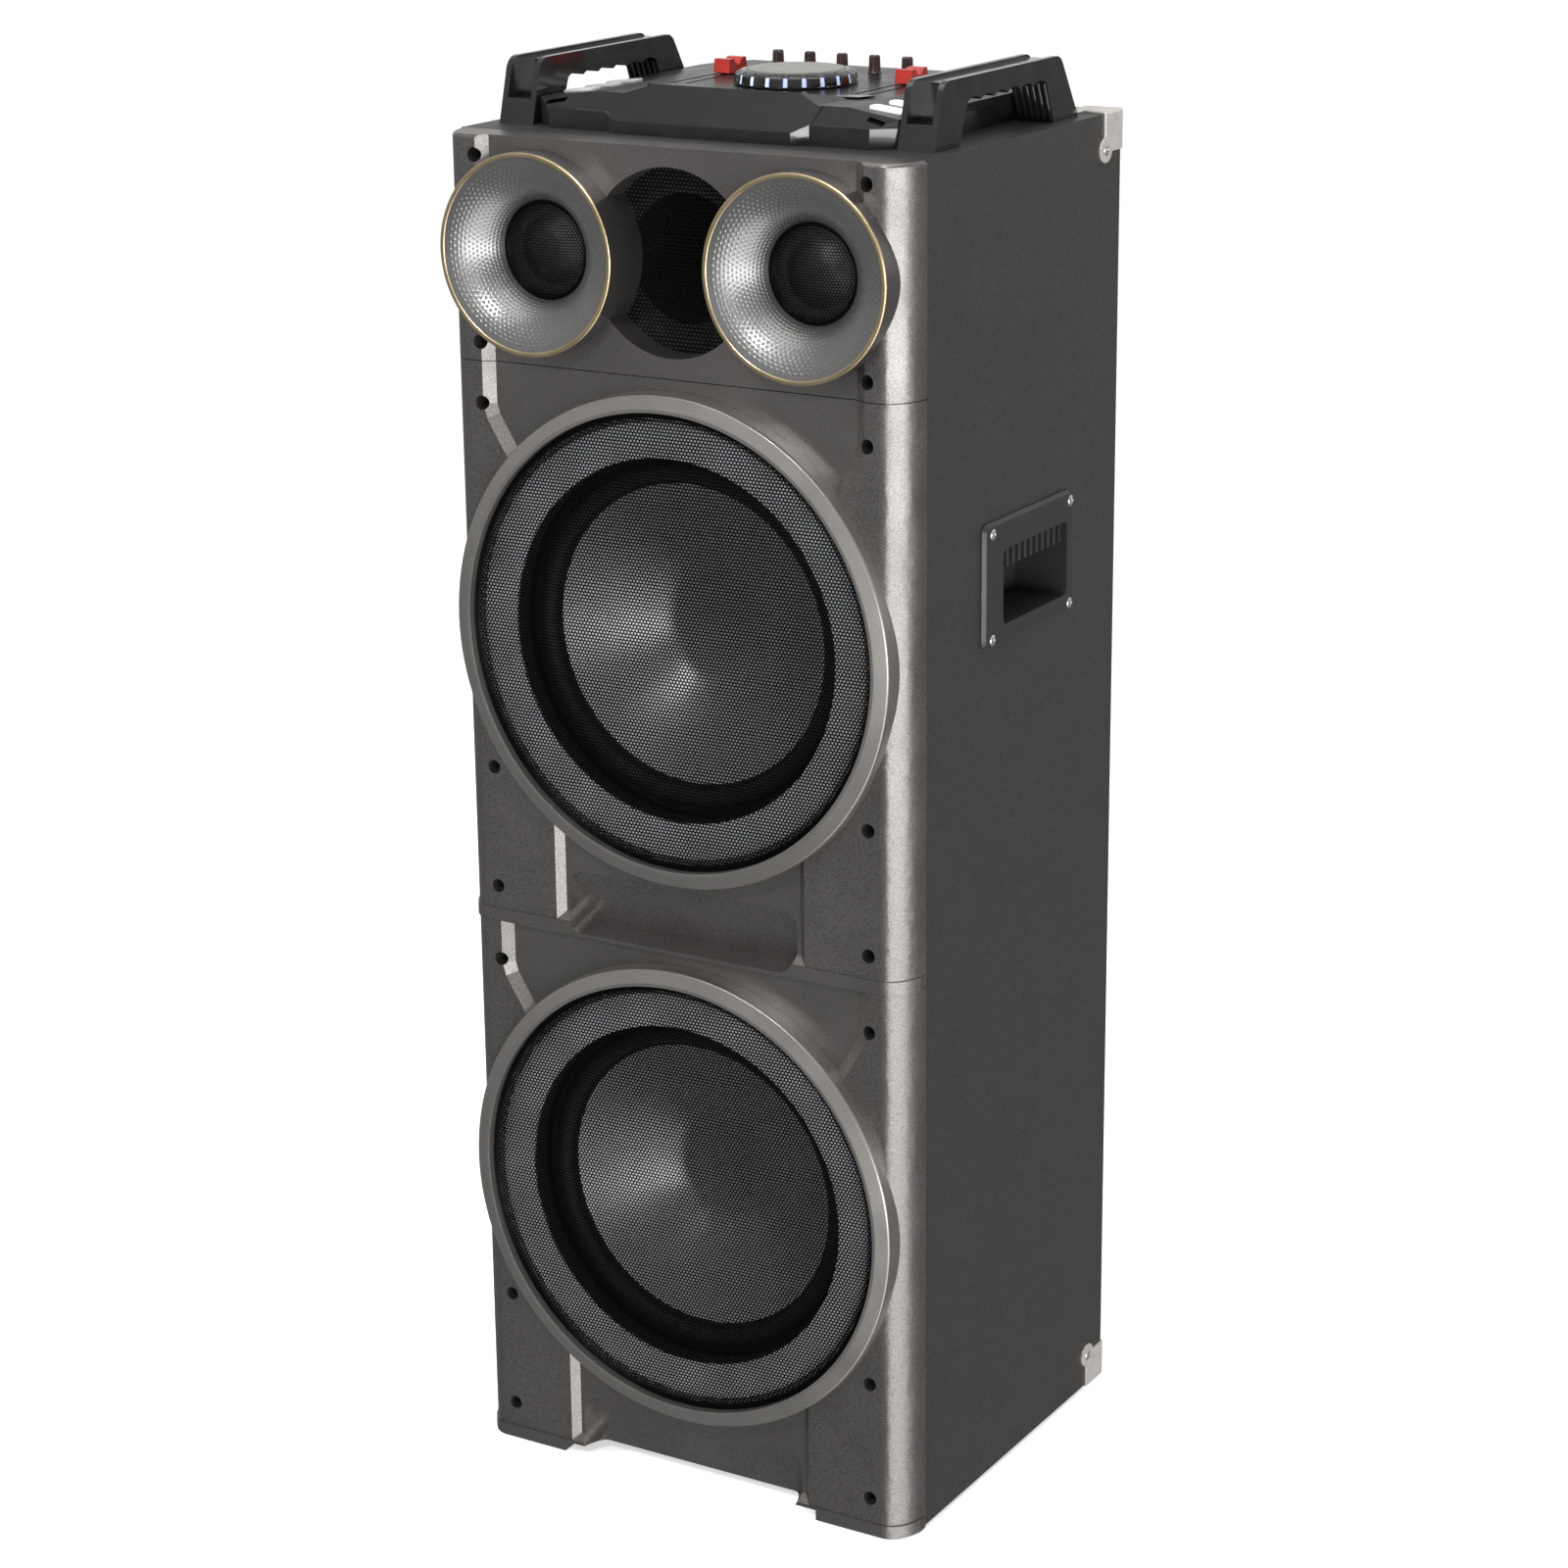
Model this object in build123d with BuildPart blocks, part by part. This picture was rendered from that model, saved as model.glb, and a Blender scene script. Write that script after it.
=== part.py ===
from build123d import *
import os
from math import cos, radians, sin, sqrt, tan

# Tower speaker with a DJ console on its top. +X is its right seen from the front, the front faces -Y
# and +Z is up. The origin is on the floor under the middle of the whole object. "depth" below is counted
# from the front edges of the wooden cabinet towards the rear, so what stands ahead of the cabinet has a
# negative depth. "level" is counted from the underside of the wooden cabinet upwards.

# ---- cabinet
cabinet_width = 380
cabinet_depth = 295
cabinet_height = 1016
board = 15
baffle_board = 18
foot_height = 3
foot_radius = 16
foot_inset = 60

# ---- fascia mouldings
fascia_depth = 29.7
fascia_corner = 21
corner_set = 4
fascia_wall = 4
fascia_hollow = 20
seam = 0.6
upper_fascia_height = 161.8
middle_fascia_height = 426.2
fascia_bottom_level = -2
panel_recess = 5
pillar_width = 32
bevel_width = 10
skirt_outer = 107
scoop_height = 41
scoop_depth = 12.5
scoop_half_width = 98
ledge_height = 10
ledge_lip = 1.3
foot_gap_half_width = 113
foot_gap_height = 8

# ---- screws of the fascia, each in a deep hole with a boss behind it
screw_from_side = 30.6
screw_hole_radius = 5.3
screw_floor = 6
screw_shaft_radius = 1.9
screw_head_radius = 4.2
screw_head_height = 3
screw_length = 12
hole_clearance = 0.05

# ---- woofers and their rings
woofer_level_above_seam = 236.7
ring_outer_radius = 181.4
ring_width = 13.1
ring_front = 41.7
ring_outer_front = 38
ring_wall = 4
grille_seat = 34.5
grille_thickness = 1.2
grille_ledge = 7.3
trim_gap = 0.6
trim_width = 26
flange_width = 20
basket_flange = 5
basket_wall = 3
surround_width = 23.4
cone_depth = 48
cone_wall = 1.2
dust_cap_radius = 40
coil_radius = 25
magnet_radius = 78
magnet_start = 96
magnet_thickness = 36
back_plate = 9
stroke_gap = 0.4

# ---- horns, tweeters and port
horn_spacing = 109.7
horn_above_seam = 81.4
horn_radius = 72.2
horn_rim = 5.8
horn_front = 40.8
throat_radius = 35.6
throat_depth = 14.6
trim_thickness = 2
driver_radius = 50
port_radius = 66.7
port_tube_radius = 46
port_tube_wall = 3
port_tube_length = 150
port_flange = 6
port_sleeve = 3
part_clearance = 0.3

# ---- side carry handles
cup_depth_start = 107
cup_length = 101
cup_level = 671
cup_height = 55.5
cup_reach = 42
cup_wall = 3
plate_start = 78.3
plate_length = 138.2
plate_level = 658
plate_height = 91
plate_thickness = 4
plate_screw_start = 91
plate_screw_length = 122
plate_screw_level = 663
plate_screw_height = 77.5
slat_count = 11
slat_height = 15.5

# ---- corner protectors
protector_leg = 28
protector_thickness = 1.6
protector_lobe_radius = 9.5
protector_screw_inset = 26
protector_round = 2

# ---- top carry handles
grip_from_side = 11.5
grip_width = 29
grip_wall = 4.5
grip_start = 31
grip_height = 46.5
grip_front_top = 44
grip_rear_top = 219
grip_end = 248
window_start = 66.5
window_end = 209
window_height = 29
scallop_count = 6

# ---- console
console_front = 19.5
console_side_front = 25.8
console_end = 262
console_half_width = 147.2
console_corner_x = 131
console_corner_depth = 38.5
nose_half_width = 72
nose_shoulder = 83.4
base_centre_height = 8.8
base_side_height = 14.2
deck_height = 25
deck_edge_x = 104
deck_slope = 6.6
deck_front = 46
ridge_height = 31.5
ridge_depth = 54
ridge_half_width = 60
ridge_foot_half_width = 79.5
deck_wall = 3

# ---- jog wheel, faders, knobs and pads
jog_depth = 150
jog_radius = 45
jog_height = 10.4
jog_disc_radius = 35.3
spindle_radius = 6
running_gap = 0.05
fader_x = 76.4
fader_slot_spacing = 11.8
fader_slot_width = 2.6
fader_slot_start = 113
fader_slot_end = 210
fader_depth = 184
fader_cap_length = 26
fader_cap_width = 13.5
fader_cap_height = 10
fader_lift = 1
fader_lean = 1.5
fader_horn = 7
fader_valley = 2
fader_valley_height = 5.5
fader_blade_length = 7.6
fader_blade_reach = 4
knob_depth = 217
knob_pitch = 27.4
knob_radius = 4.65
knob_height = 14
pad_length = 28
pad_width = 13
pad_x = 126.5
pad_first_depth = 62
pad_pitch = 27.5
pad_travel = 1.2
pad_margin = 0.6
window_pocket = 1.2

# ---- rear panel
amp_width = 250
amp_height = 330
amp_level = 110
amp_plate = 2.5
amp_overlap = 12
jack_length = 8
jack_radius = 4.15
jack_pin_radius = 1.7
inlet_width = 27
inlet_height = 20
inlet_reach = 18
switch_width = 13
switch_length = 18.8
switch_tilt = 8

# ---- smaller sizes
screw_from_top = 14.3
screw_above_upper_seam = 13.8
screw_below_seam = 30.6
screw_middle = 120.9
screw_above_ledge = 27.6
bevel_angle = 60
skirt_angle = 50
shoulder_below_ring = 23.4
bend_reach = 3
bend_drop = 10
sweep_drop = 38
scoop_rise = 2
scoop_round = 14
fascia_top_round = 3
surround_lip = 6
surround_skin = 1
surround_roll = 9
ring_crease = 2.6
ring_edge = 1.2
trim_front = 33
trim_inner_front = 16
trim_rim = 3
coil_end_gap = 12
former_wall = 0.8
pole_gap = 1.5
plate_gap = 2.5
trim_lip_gap = 0.4
neck_inset = 12
neck_length = 10
neck_shelf = 18
basket_gap = 1
basket_waist = 40
spoke_count = 6
basket_window_width = 36
basket_window_length = 56
basket_window_round = 8
basket_window_start = 9
cone_lip = 2
neck_lap = 3
dust_cap_rise = 14
tweeter_dome = 7
silk_dome = 7
silk_shoulder = 5.6
silk_radius = 25
silk_opening = 27
horn_wall = 3.5
flare_out = 9.5
flare_forward = 15
guard_rim = 1.5
guard_skin = 1
driver_depth = 33
driver_magnet_radius = 40
driver_magnet_thickness = 15
plate_corner = 6
plate_bevel = 2.5
cup_round = 5
slat_reach = 9
slat_share = 0.45
rivet_height = 1.2
grip_round = 12
scallop_rise = 3
scallop_margin = 12
groove_floor = 18
groove_reach = 26
groove_depth = 2.5
console_rear_cut = 8
deck_toe = 28.5
ridge_back = 95
corner_slot_x = 131
corner_slot_level = 18
corner_slot_length = 15
corner_slot_height = 2.6
corner_slot_tilt = 10
display_outline = [(62, 82), (88, 88), (94, 101), (68, 95)]
pad_count = 3
pad_round = 4.5
knob_count = 5
knob_shaft_radius = 3
knob_shaft_tail = 5
knob_skirt = 0.5
knob_skirt_height = 1.2
knob_lean = 0.6
knob_round = 0.8
knob_flutes = 12
knob_flute_start = 3
knob_flute_radius = 0.7
jog_window_count = 20
jog_window_width = 3.8
jog_window_depth = 2.5
jog_window_sill = 1.2
jog_window_head = 2.8
jog_shoulder = 5.5
jog_shoulder_drop = 0.8
jog_side_drop = 3.4
jog_side_lean = 1.2
jog_disc_thickness = 2.4
jog_disc_crown = 0.4
jog_disc_round = 1
jog_disc_rim = 0.5
jog_lift = 0.5
spindle_tail = 6
jack_drop = 40
inlet_x = 80
switch_x = 40
inlet_rise = 40
switch_opening = 22
switch_pivot = 5
blade_length = 9
fin_x = -40
fin_pitch = 9
fin_count = 10
fin_height = 200
fin_reach = 28
board_standoff = 45
fin_thickness = 3
circuit_board = 2
transformer_drop = 70
transformer_radius = 42
transformer_hole_radius = 14
transformer_height = 38
capacitor_rise = 60
capacitor_pitch = 40
capacitor_count = 3
capacitor_radius = 13
capacitor_height = 40
jack_places = (-90, -70, -40, -20)
jack_shoulder = 1
inlet_wall = 1.5
inlet_floor = 2
blade_places = [(-7, -2), (0, 4), (7, -2)]
blade_width = 2
blade_height = 4
rocker_rise = 3
rocker_dip = 1.4
rocker_taper = 1
rocker_root = 2
amp_screw_inset = 6

# ---- places that follow from the sizes above
nose = horn_front + trim_thickness
upper_seam_level = cabinet_height - upper_fascia_height
lower_seam_level = upper_seam_level - middle_fascia_height
corner_centres = [(side * (cabinet_width / 2 - fascia_corner), corner_set) for side in (1, -1)]
horn_level = upper_seam_level + horn_above_seam
bevel_outer = cabinet_width / 2 - pillar_width
bevel_inner = bevel_outer - bevel_width
screw_column = cabinet_width / 2 - screw_from_side
grip_inner = cabinet_width / 2 - grip_from_side - grip_width
ring_inner_radius = ring_outer_radius - ring_width
grille_ledge_radius = ring_inner_radius - grille_ledge
trim_outer_radius = grille_ledge_radius - trim_gap
trim_inner_radius = trim_outer_radius - trim_width
basket_hole_radius = grille_ledge_radius - flange_width
cone_radius = trim_inner_radius - surround_width
horn_mouth_radius = horn_radius - horn_rim
port_flange_radius = port_tube_radius + port_tube_wall + port_flange
total_depth = nose + cabinet_depth + amp_plate + jack_length
y_front = nose - total_depth / 2
half_width = cabinet_width / 2
inner_half_width = half_width - board
# the corner's ellipse is centred a little behind the fascia's back, and still ends on the cabinet's side
corner_reach = fascia_corner / sqrt(1 - (corner_set / (fascia_depth + corner_set)) ** 2)
woofer_levels = {
    "lower": woofer_level_above_seam,
    "upper": lower_seam_level + woofer_level_above_seam,
}
deck_level = cabinet_height + deck_height
pad_proud = pad_travel + pad_margin
os.makedirs("parts", exist_ok=True)


def y_at(depth):
    return y_front + depth


def z_at(level):
    return foot_height + level


def facing(depth):
    """Upright plane at this depth, looking to the front; its coordinates are x and level."""
    return Plane(origin=(0, y_at(depth), z_at(0)), x_dir=(1, 0, 0), z_dir=(0, -1, 0))


def sideways(x):
    """Upright plane across the width; its coordinates are depth and level."""
    return Plane(origin=(x, y_at(0), z_at(0)), x_dir=(0, 1, 0), z_dir=(1, 0, 0))


def flat(level):
    """Level plane; its coordinates are x and depth."""
    return Plane(origin=(0, y_at(0), z_at(level)), x_dir=(1, 0, 0), z_dir=(0, 0, 1))


def turned(x, level):
    """Plane for the section of a round piece that faces the front; its coordinates are radius and depth."""
    return Plane(origin=(x, y_at(0), z_at(level)), x_dir=(1, 0, 0), z_dir=(0, 0, 1))


def turning_axis(x, level):
    return Axis((x, y_at(0), z_at(level)), (0, 1, 0))


def standing(x, depth, level):
    """Plane for the section of an upright round piece; its coordinates are radius and height."""
    return Plane(origin=(x, y_at(depth), z_at(level)), x_dir=(1, 0, 0), z_dir=(0, -1, 0))


def standing_axis(x, depth):
    return Axis((x, y_at(depth), 0), (0, 0, 1))


def dome_fall(radius, rise, at):
    """How far a round dome of this edge radius and rise has fallen from its top at a smaller radius."""
    sphere = (radius**2 + rise**2) / (2 * rise)
    return sphere - sqrt(sphere**2 - at**2)


def save(piece, name):
    piece.label = name
    export_step(piece, f"parts/{name}.step")


def save_pair(piece, right_name, left_name):
    """Writes a piece of the right side and its mirror image."""
    save(piece, right_name)
    save(mirror(piece, about=Plane.YZ), left_name)


# ---------------------------------------------------------------- cabinet boards
def cabinet_boards():
    with BuildPart() as side_panel:
        with BuildSketch(sideways(inner_half_width)):
            with Locations((cabinet_depth / 2, cabinet_height / 2)):
                Rectangle(cabinet_depth, cabinet_height)
            with Locations((cup_depth_start + cup_length / 2, cup_level + cup_height / 2)):
                opening = 2 * (cup_wall + part_clearance)
                Rectangle(cup_length + opening, cup_height + opening, mode=Mode.SUBTRACT)
        extrude(amount=board)
    save_pair(side_panel.part, "side_panel_right", "side_panel_left")

    with BuildPart() as top_panel:
        with BuildSketch(flat(cabinet_height - board)):
            with Locations((0, cabinet_depth / 2)):
                Rectangle(2 * inner_half_width, cabinet_depth)
        extrude(amount=board)
        with BuildSketch(facing(baffle_board)):
            with Locations(*fascia_screw_places()):
                Circle(screw_shaft_radius + hole_clearance)
        extrude(amount=baffle_board, mode=Mode.SUBTRACT)
    save(top_panel.part, "top_panel")

    with BuildPart() as bottom_panel:
        with BuildSketch(flat(0)):
            with Locations((0, cabinet_depth / 2)):
                Rectangle(2 * inner_half_width, cabinet_depth)
        extrude(amount=board)
    save(bottom_panel.part, "bottom_panel")

    inside_height = cabinet_height - 2 * board
    with BuildPart() as rear_panel:
        with BuildSketch(facing(cabinet_depth)):
            with Locations((0, cabinet_height / 2)):
                Rectangle(2 * inner_half_width, inside_height)
            with Locations((0, amp_level + amp_height / 2)):
                Rectangle(amp_width - 2 * amp_overlap, amp_height - 2 * amp_overlap, mode=Mode.SUBTRACT)
        extrude(amount=board)
    save(rear_panel.part, "rear_panel")

    with BuildPart() as front_baffle:
        with BuildSketch(facing(baffle_board)):
            with Locations((0, cabinet_height / 2)):
                Rectangle(2 * inner_half_width, inside_height)
            with Locations(*[(0, level) for level in woofer_levels.values()]):
                Circle(basket_hole_radius, mode=Mode.SUBTRACT)
            with Locations((horn_spacing, horn_level), (-horn_spacing, horn_level)):
                Circle(driver_radius + part_clearance, mode=Mode.SUBTRACT)
            with Locations((0, horn_level)):
                Circle(port_tube_radius + port_tube_wall + part_clearance, mode=Mode.SUBTRACT)
            with Locations(*fascia_screw_places()):
                Circle(screw_shaft_radius + hole_clearance, mode=Mode.SUBTRACT)
        extrude(amount=baffle_board)
        with BuildSketch(facing(port_tube_wall)):
            with Locations((0, horn_level)):
                Circle(port_flange_radius + part_clearance)
        extrude(amount=port_tube_wall, mode=Mode.SUBTRACT)
    save(front_baffle.part, "front_baffle")

    with BuildPart() as rubber_feet:
        with BuildSketch(flat(-foot_height)):
            with Locations((0, cabinet_depth / 2)):
                across = cabinet_width - 2 * foot_inset
                along = cabinet_depth - 2 * foot_inset
                with GridLocations(across, along, 2, 2):
                    Circle(foot_radius)
        extrude(amount=foot_height)
    save(rubber_feet.part, "rubber_feet")


# ---------------------------------------------------------------- fascia mouldings
def fascia_screw_places():
    """Eight heights down each pillar, as x and level."""
    levels = [
        cabinet_height - screw_from_top,
        upper_seam_level + screw_above_upper_seam,
        upper_seam_level - screw_below_seam,
        lower_seam_level + screw_middle,
        lower_seam_level + screw_above_ledge,
        lower_seam_level - screw_below_seam,
        screw_middle,
        screw_above_ledge,
    ]
    return [(side * screw_column, level) for level in levels for side in (-1, 1)]


def woofer_fascia(name, bottom, top, woofer_level):
    """Moulding round one woofer: pillars, a sunk panel behind them, a scoop under the ring and a ledge."""
    own_screws = [place for place in fascia_screw_places() if bottom < place[1] < top]
    scoop_top = bottom + ledge_height + scoop_height - scoop_rise
    panel_depth = -fascia_depth + panel_recess
    slope = sqrt(scoop_height**2 + scoop_depth**2)
    scoop_plane = Plane(
        origin=(0, y_at(panel_depth), z_at(scoop_top)),
        x_dir=(1, 0, 0),
        z_dir=(0, -scoop_height, -scoop_depth),
    )
    with BuildPart() as fascia:
        # the outer shape, with both front corners rounded
        with BuildSketch(flat(bottom)):
            with Locations((0, -fascia_depth / 2)):
                Rectangle(cabinet_width - 2 * fascia_corner, fascia_depth)
            with Locations(*corner_centres):
                Ellipse(corner_reach, fascia_depth + corner_set)
            with Locations((0, cabinet_depth / 2)):
                Rectangle(2 * cabinet_width, cabinet_depth, mode=Mode.SUBTRACT)
        extrude(amount=top - bottom)
        # the ledge along the bottom stands a little proud
        with BuildSketch(flat(bottom)):
            with Locations((0, -(fascia_depth + ledge_lip) / 2)):
                Rectangle(cabinet_width - 2 * fascia_corner, fascia_depth + ledge_lip)
            with Locations(*corner_centres):
                Ellipse(corner_reach + ledge_lip, fascia_depth + corner_set + ledge_lip)
            with Locations((0, cabinet_depth / 2)):
                Rectangle(2 * cabinet_width, cabinet_depth, mode=Mode.SUBTRACT)
            with Locations((half_width + fascia_corner, 0), (-half_width - fascia_corner, 0)):
                Rectangle(2 * fascia_corner, cabinet_depth, mode=Mode.SUBTRACT)
        extrude(amount=ledge_height)
        # the panel between the pillars, above and below the ring
        with BuildSketch(facing(-fascia_depth)):
            with BuildLine():
                shoulder = woofer_level + ring_outer_radius - shoulder_below_ring
                high = top + ring_outer_radius
                Polyline(
                    (-bevel_outer, high),
                    (-bevel_outer, shoulder),
                    (-bevel_outer + bend_reach, shoulder - bend_drop),
                    (-bevel_inner + bevel_width, shoulder - sweep_drop),
                    (-skirt_outer, woofer_level),
                    (skirt_outer, woofer_level),
                    (bevel_inner - bevel_width, shoulder - sweep_drop),
                    (bevel_outer - bend_reach, shoulder - bend_drop),
                    (bevel_outer, shoulder),
                    (bevel_outer, high),
                    close=True,
                )
            make_face()
        extrude(amount=-panel_recess, taper=bevel_angle, mode=Mode.SUBTRACT)
        with BuildSketch(facing(-fascia_depth)):
            with Locations((0, (bottom + ledge_height + woofer_level) / 2)):
                Rectangle(2 * skirt_outer, woofer_level - bottom - ledge_height)
        extrude(amount=-panel_recess, taper=skirt_angle, mode=Mode.SUBTRACT)
        # the scoop under the ring slopes inwards
        with BuildSketch(scoop_plane):
            with Locations((0, -slope / 2)):
                RectangleRounded(2 * scoop_half_width, slope, scoop_round)
        extrude(amount=fascia_depth, mode=Mode.SUBTRACT)
        # hollow behind
        with BuildSketch(facing(0)):
            with Locations((0, (bottom + top) / 2)):
                Rectangle(cabinet_width - 2 * fascia_corner, top - bottom - 2 * fascia_wall)
            with Locations((0, scoop_top / 2)):
                Rectangle(2 * scoop_half_width + 2 * fascia_wall, scoop_top, mode=Mode.SUBTRACT)
            with Locations(*own_screws):
                Circle(screw_hole_radius + fascia_wall, mode=Mode.SUBTRACT)
        extrude(amount=fascia_hollow, mode=Mode.SUBTRACT)
        # the ring's opening and the screw holes
        with BuildSketch(facing(0)):
            with Locations((0, woofer_level)):
                Circle(ring_outer_radius + hole_clearance)
            with Locations(*own_screws):
                Circle(screw_shaft_radius + part_clearance)
        extrude(amount=2 * fascia_depth, mode=Mode.SUBTRACT)
        with BuildSketch(facing(-screw_floor)):
            with Locations(*own_screws):
                Circle(screw_hole_radius)
        extrude(amount=fascia_depth, mode=Mode.SUBTRACT)
        if bottom < 0:
            # the lowest moulding stands on two feet with an open middle
            with BuildSketch(facing(0)):
                with Locations((0, bottom)):
                    Rectangle(2 * foot_gap_half_width, 2 * foot_gap_height)
            extrude(amount=2 * fascia_depth, mode=Mode.SUBTRACT)
    save(fascia.part, name)


def upper_fascia():
    """Moulding round both horns and the port."""
    bottom, top = upper_seam_level + seam / 2, cabinet_height
    own_screws = [place for place in fascia_screw_places() if bottom < place[1] < top]
    horns = [(horn_spacing, horn_level), (-horn_spacing, horn_level)]
    with BuildPart() as fascia_upper:
        with BuildSketch(flat(bottom)):
            with Locations((0, -fascia_depth / 2)):
                Rectangle(cabinet_width - 2 * fascia_corner, fascia_depth)
            with Locations(*corner_centres):
                Ellipse(corner_reach, fascia_depth + corner_set)
            with Locations((0, cabinet_depth / 2)):
                Rectangle(2 * cabinet_width, cabinet_depth, mode=Mode.SUBTRACT)
        extrude(amount=top - bottom)
        top_front = fascia_upper.edges().group_by(Axis.Z)[-1].sort_by(Axis.Y)[:-1]
        fillet(top_front, radius=fascia_top_round)
        with BuildSketch(facing(-fascia_depth)):
            with Locations((0, (bottom + top) / 2)):
                Rectangle(2 * bevel_outer, 2 * (top - bottom))
        extrude(amount=-panel_recess, taper=bevel_angle, mode=Mode.SUBTRACT)
        with BuildSketch(facing(0)):
            with Locations((0, (bottom + top) / 2)):
                Rectangle(cabinet_width - 2 * fascia_corner, top - bottom - 2 * fascia_wall)
            with Locations(*own_screws):
                Circle(screw_hole_radius + fascia_wall, mode=Mode.SUBTRACT)
            with Locations((0, horn_level)):
                Circle(port_radius + port_sleeve, mode=Mode.SUBTRACT)
        extrude(amount=fascia_hollow, mode=Mode.SUBTRACT)
        with BuildSketch(facing(0)):
            with Locations(*horns):
                Circle(horn_radius + hole_clearance)
            with Locations((0, horn_level)):
                Circle(port_radius)
            with Locations(*own_screws):
                Circle(screw_shaft_radius + part_clearance)
        extrude(amount=2 * fascia_depth, mode=Mode.SUBTRACT)
        with BuildSketch(facing(-screw_floor)):
            with Locations(*own_screws):
                Circle(screw_hole_radius)
            with Locations(*horns):
                Circle(horn_radius + hole_clearance, mode=Mode.SUBTRACT)
        extrude(amount=fascia_depth, mode=Mode.SUBTRACT)
    save(fascia_upper.part, "fascia_upper")


def fascia_screws():
    with BuildPart() as screws:
        with BuildSketch(facing(-screw_floor)):
            with Locations(*fascia_screw_places()):
                Circle(screw_head_radius)
        extrude(amount=screw_head_height)
        with BuildSketch(facing(screw_length)):
            with Locations(*fascia_screw_places()):
                Circle(screw_shaft_radius)
        extrude(amount=screw_length + screw_floor)
    save(screws.part, "fascia_screws")


# ---------------------------------------------------------------- woofers
def woofer(place, level):
    """Ring, grille, trim, basket, magnet, surround and cone of one woofer."""
    section = turned(0, level)
    axis = turning_axis(0, level)
    lip = trim_inner_radius - trim_lip_gap
    roll_outer = lip - surround_lip
    roll_inner = cone_radius + stroke_gap + surround_lip / 2
    roll_middle = (roll_outer + roll_inner) / 2
    roll_height = surround_roll
    ring_mid = ring_inner_radius + ring_crease
    with BuildPart() as woofer_ring:
        with BuildSketch(section):
            with BuildLine():
                Polyline(
                    (ring_inner_radius, -ring_front),
                    (ring_mid, -ring_front),
                    (ring_outer_radius - ring_edge, -ring_outer_front - ring_edge / 2),
                    (ring_outer_radius, -ring_outer_front + ring_edge),
                    (ring_outer_radius, 0),
                    (ring_outer_radius - ring_wall, 0),
                    (ring_outer_radius - ring_wall, -grille_seat + ring_wall),
                    (grille_ledge_radius, -grille_seat + ring_wall),
                    (grille_ledge_radius, -grille_seat),
                    (ring_inner_radius, -grille_seat),
                    close=True,
                )
            make_face()
        revolve(axis=axis)
    save(woofer_ring.part, f"woofer_ring_{place}")

    with BuildPart() as woofer_grille:
        with BuildSketch(facing(-grille_seat - hole_clearance)):
            with Locations((0, level)):
                Circle(ring_inner_radius - hole_clearance)
        extrude(amount=grille_thickness)
    save(woofer_grille.part, f"woofer_grille_{place}")

    with BuildPart() as woofer_trim:
        with BuildSketch(section):
            with BuildLine():
                Polyline(
                    (trim_inner_radius, -basket_flange - hole_clearance),
                    (trim_outer_radius, -basket_flange - hole_clearance),
                    (trim_outer_radius, -trim_front),
                    (trim_outer_radius - trim_rim, -trim_front),
                    (trim_inner_radius, -trim_inner_front),
                    close=True,
                )
            make_face()
        revolve(axis=axis)
    save(woofer_trim.part, f"woofer_trim_{place}")

    # the basket: a flange on the baffle, a sloping frame with windows, and a seat for the magnet
    neck_outer = magnet_radius - neck_inset
    neck_inner = neck_outer - basket_wall
    frame_radius = basket_hole_radius - basket_gap
    with BuildPart() as woofer_basket:
        with BuildSketch(section):
            with BuildLine():
                Polyline(
                    (roll_outer, -basket_flange),
                    (grille_ledge_radius, -basket_flange),
                    (grille_ledge_radius, 0),
                    (frame_radius, 0),
                    (frame_radius, basket_wall),
                    (neck_outer + basket_waist, magnet_start / 2),
                    (neck_outer, magnet_start - neck_length),
                    (neck_outer, magnet_start),
                    (neck_inner - neck_shelf, magnet_start),
                    (neck_inner - neck_shelf, magnet_start - basket_wall),
                    (neck_inner, magnet_start - neck_length - basket_wall),
                    (neck_inner + basket_waist - basket_gap, magnet_start / 2 - basket_wall),
                    (frame_radius - basket_wall, -basket_gap),
                    (roll_outer, -basket_gap),
                    close=True,
                )
            make_face()
        revolve(axis=axis)
        # windows between the spokes
        with BuildSketch(facing(magnet_start)):
            with Locations((0, level)):
                with PolarLocations((neck_outer + frame_radius) / 2 - basket_wall, spoke_count):
                    RectangleRounded(basket_window_width, basket_window_length, basket_window_round)
        extrude(amount=magnet_start - basket_window_start, mode=Mode.SUBTRACT)
    save(woofer_basket.part, f"woofer_basket_{place}")

    with BuildPart() as woofer_magnet:
        with BuildSketch(section):
            with BuildLine():
                Polyline(
                    (0, magnet_start),
                    (coil_radius - pole_gap, magnet_start),
                    (coil_radius - pole_gap, magnet_start + magnet_thickness),
                    (coil_radius + plate_gap, magnet_start + magnet_thickness),
                    (coil_radius + plate_gap, magnet_start),
                    (magnet_radius, magnet_start),
                    (magnet_radius, magnet_start + magnet_thickness + back_plate),
                    (0, magnet_start + magnet_thickness + back_plate),
                    close=True,
                )
            make_face()
        revolve(axis=axis)
    save(woofer_magnet.part, f"woofer_magnet_{place}")

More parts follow.
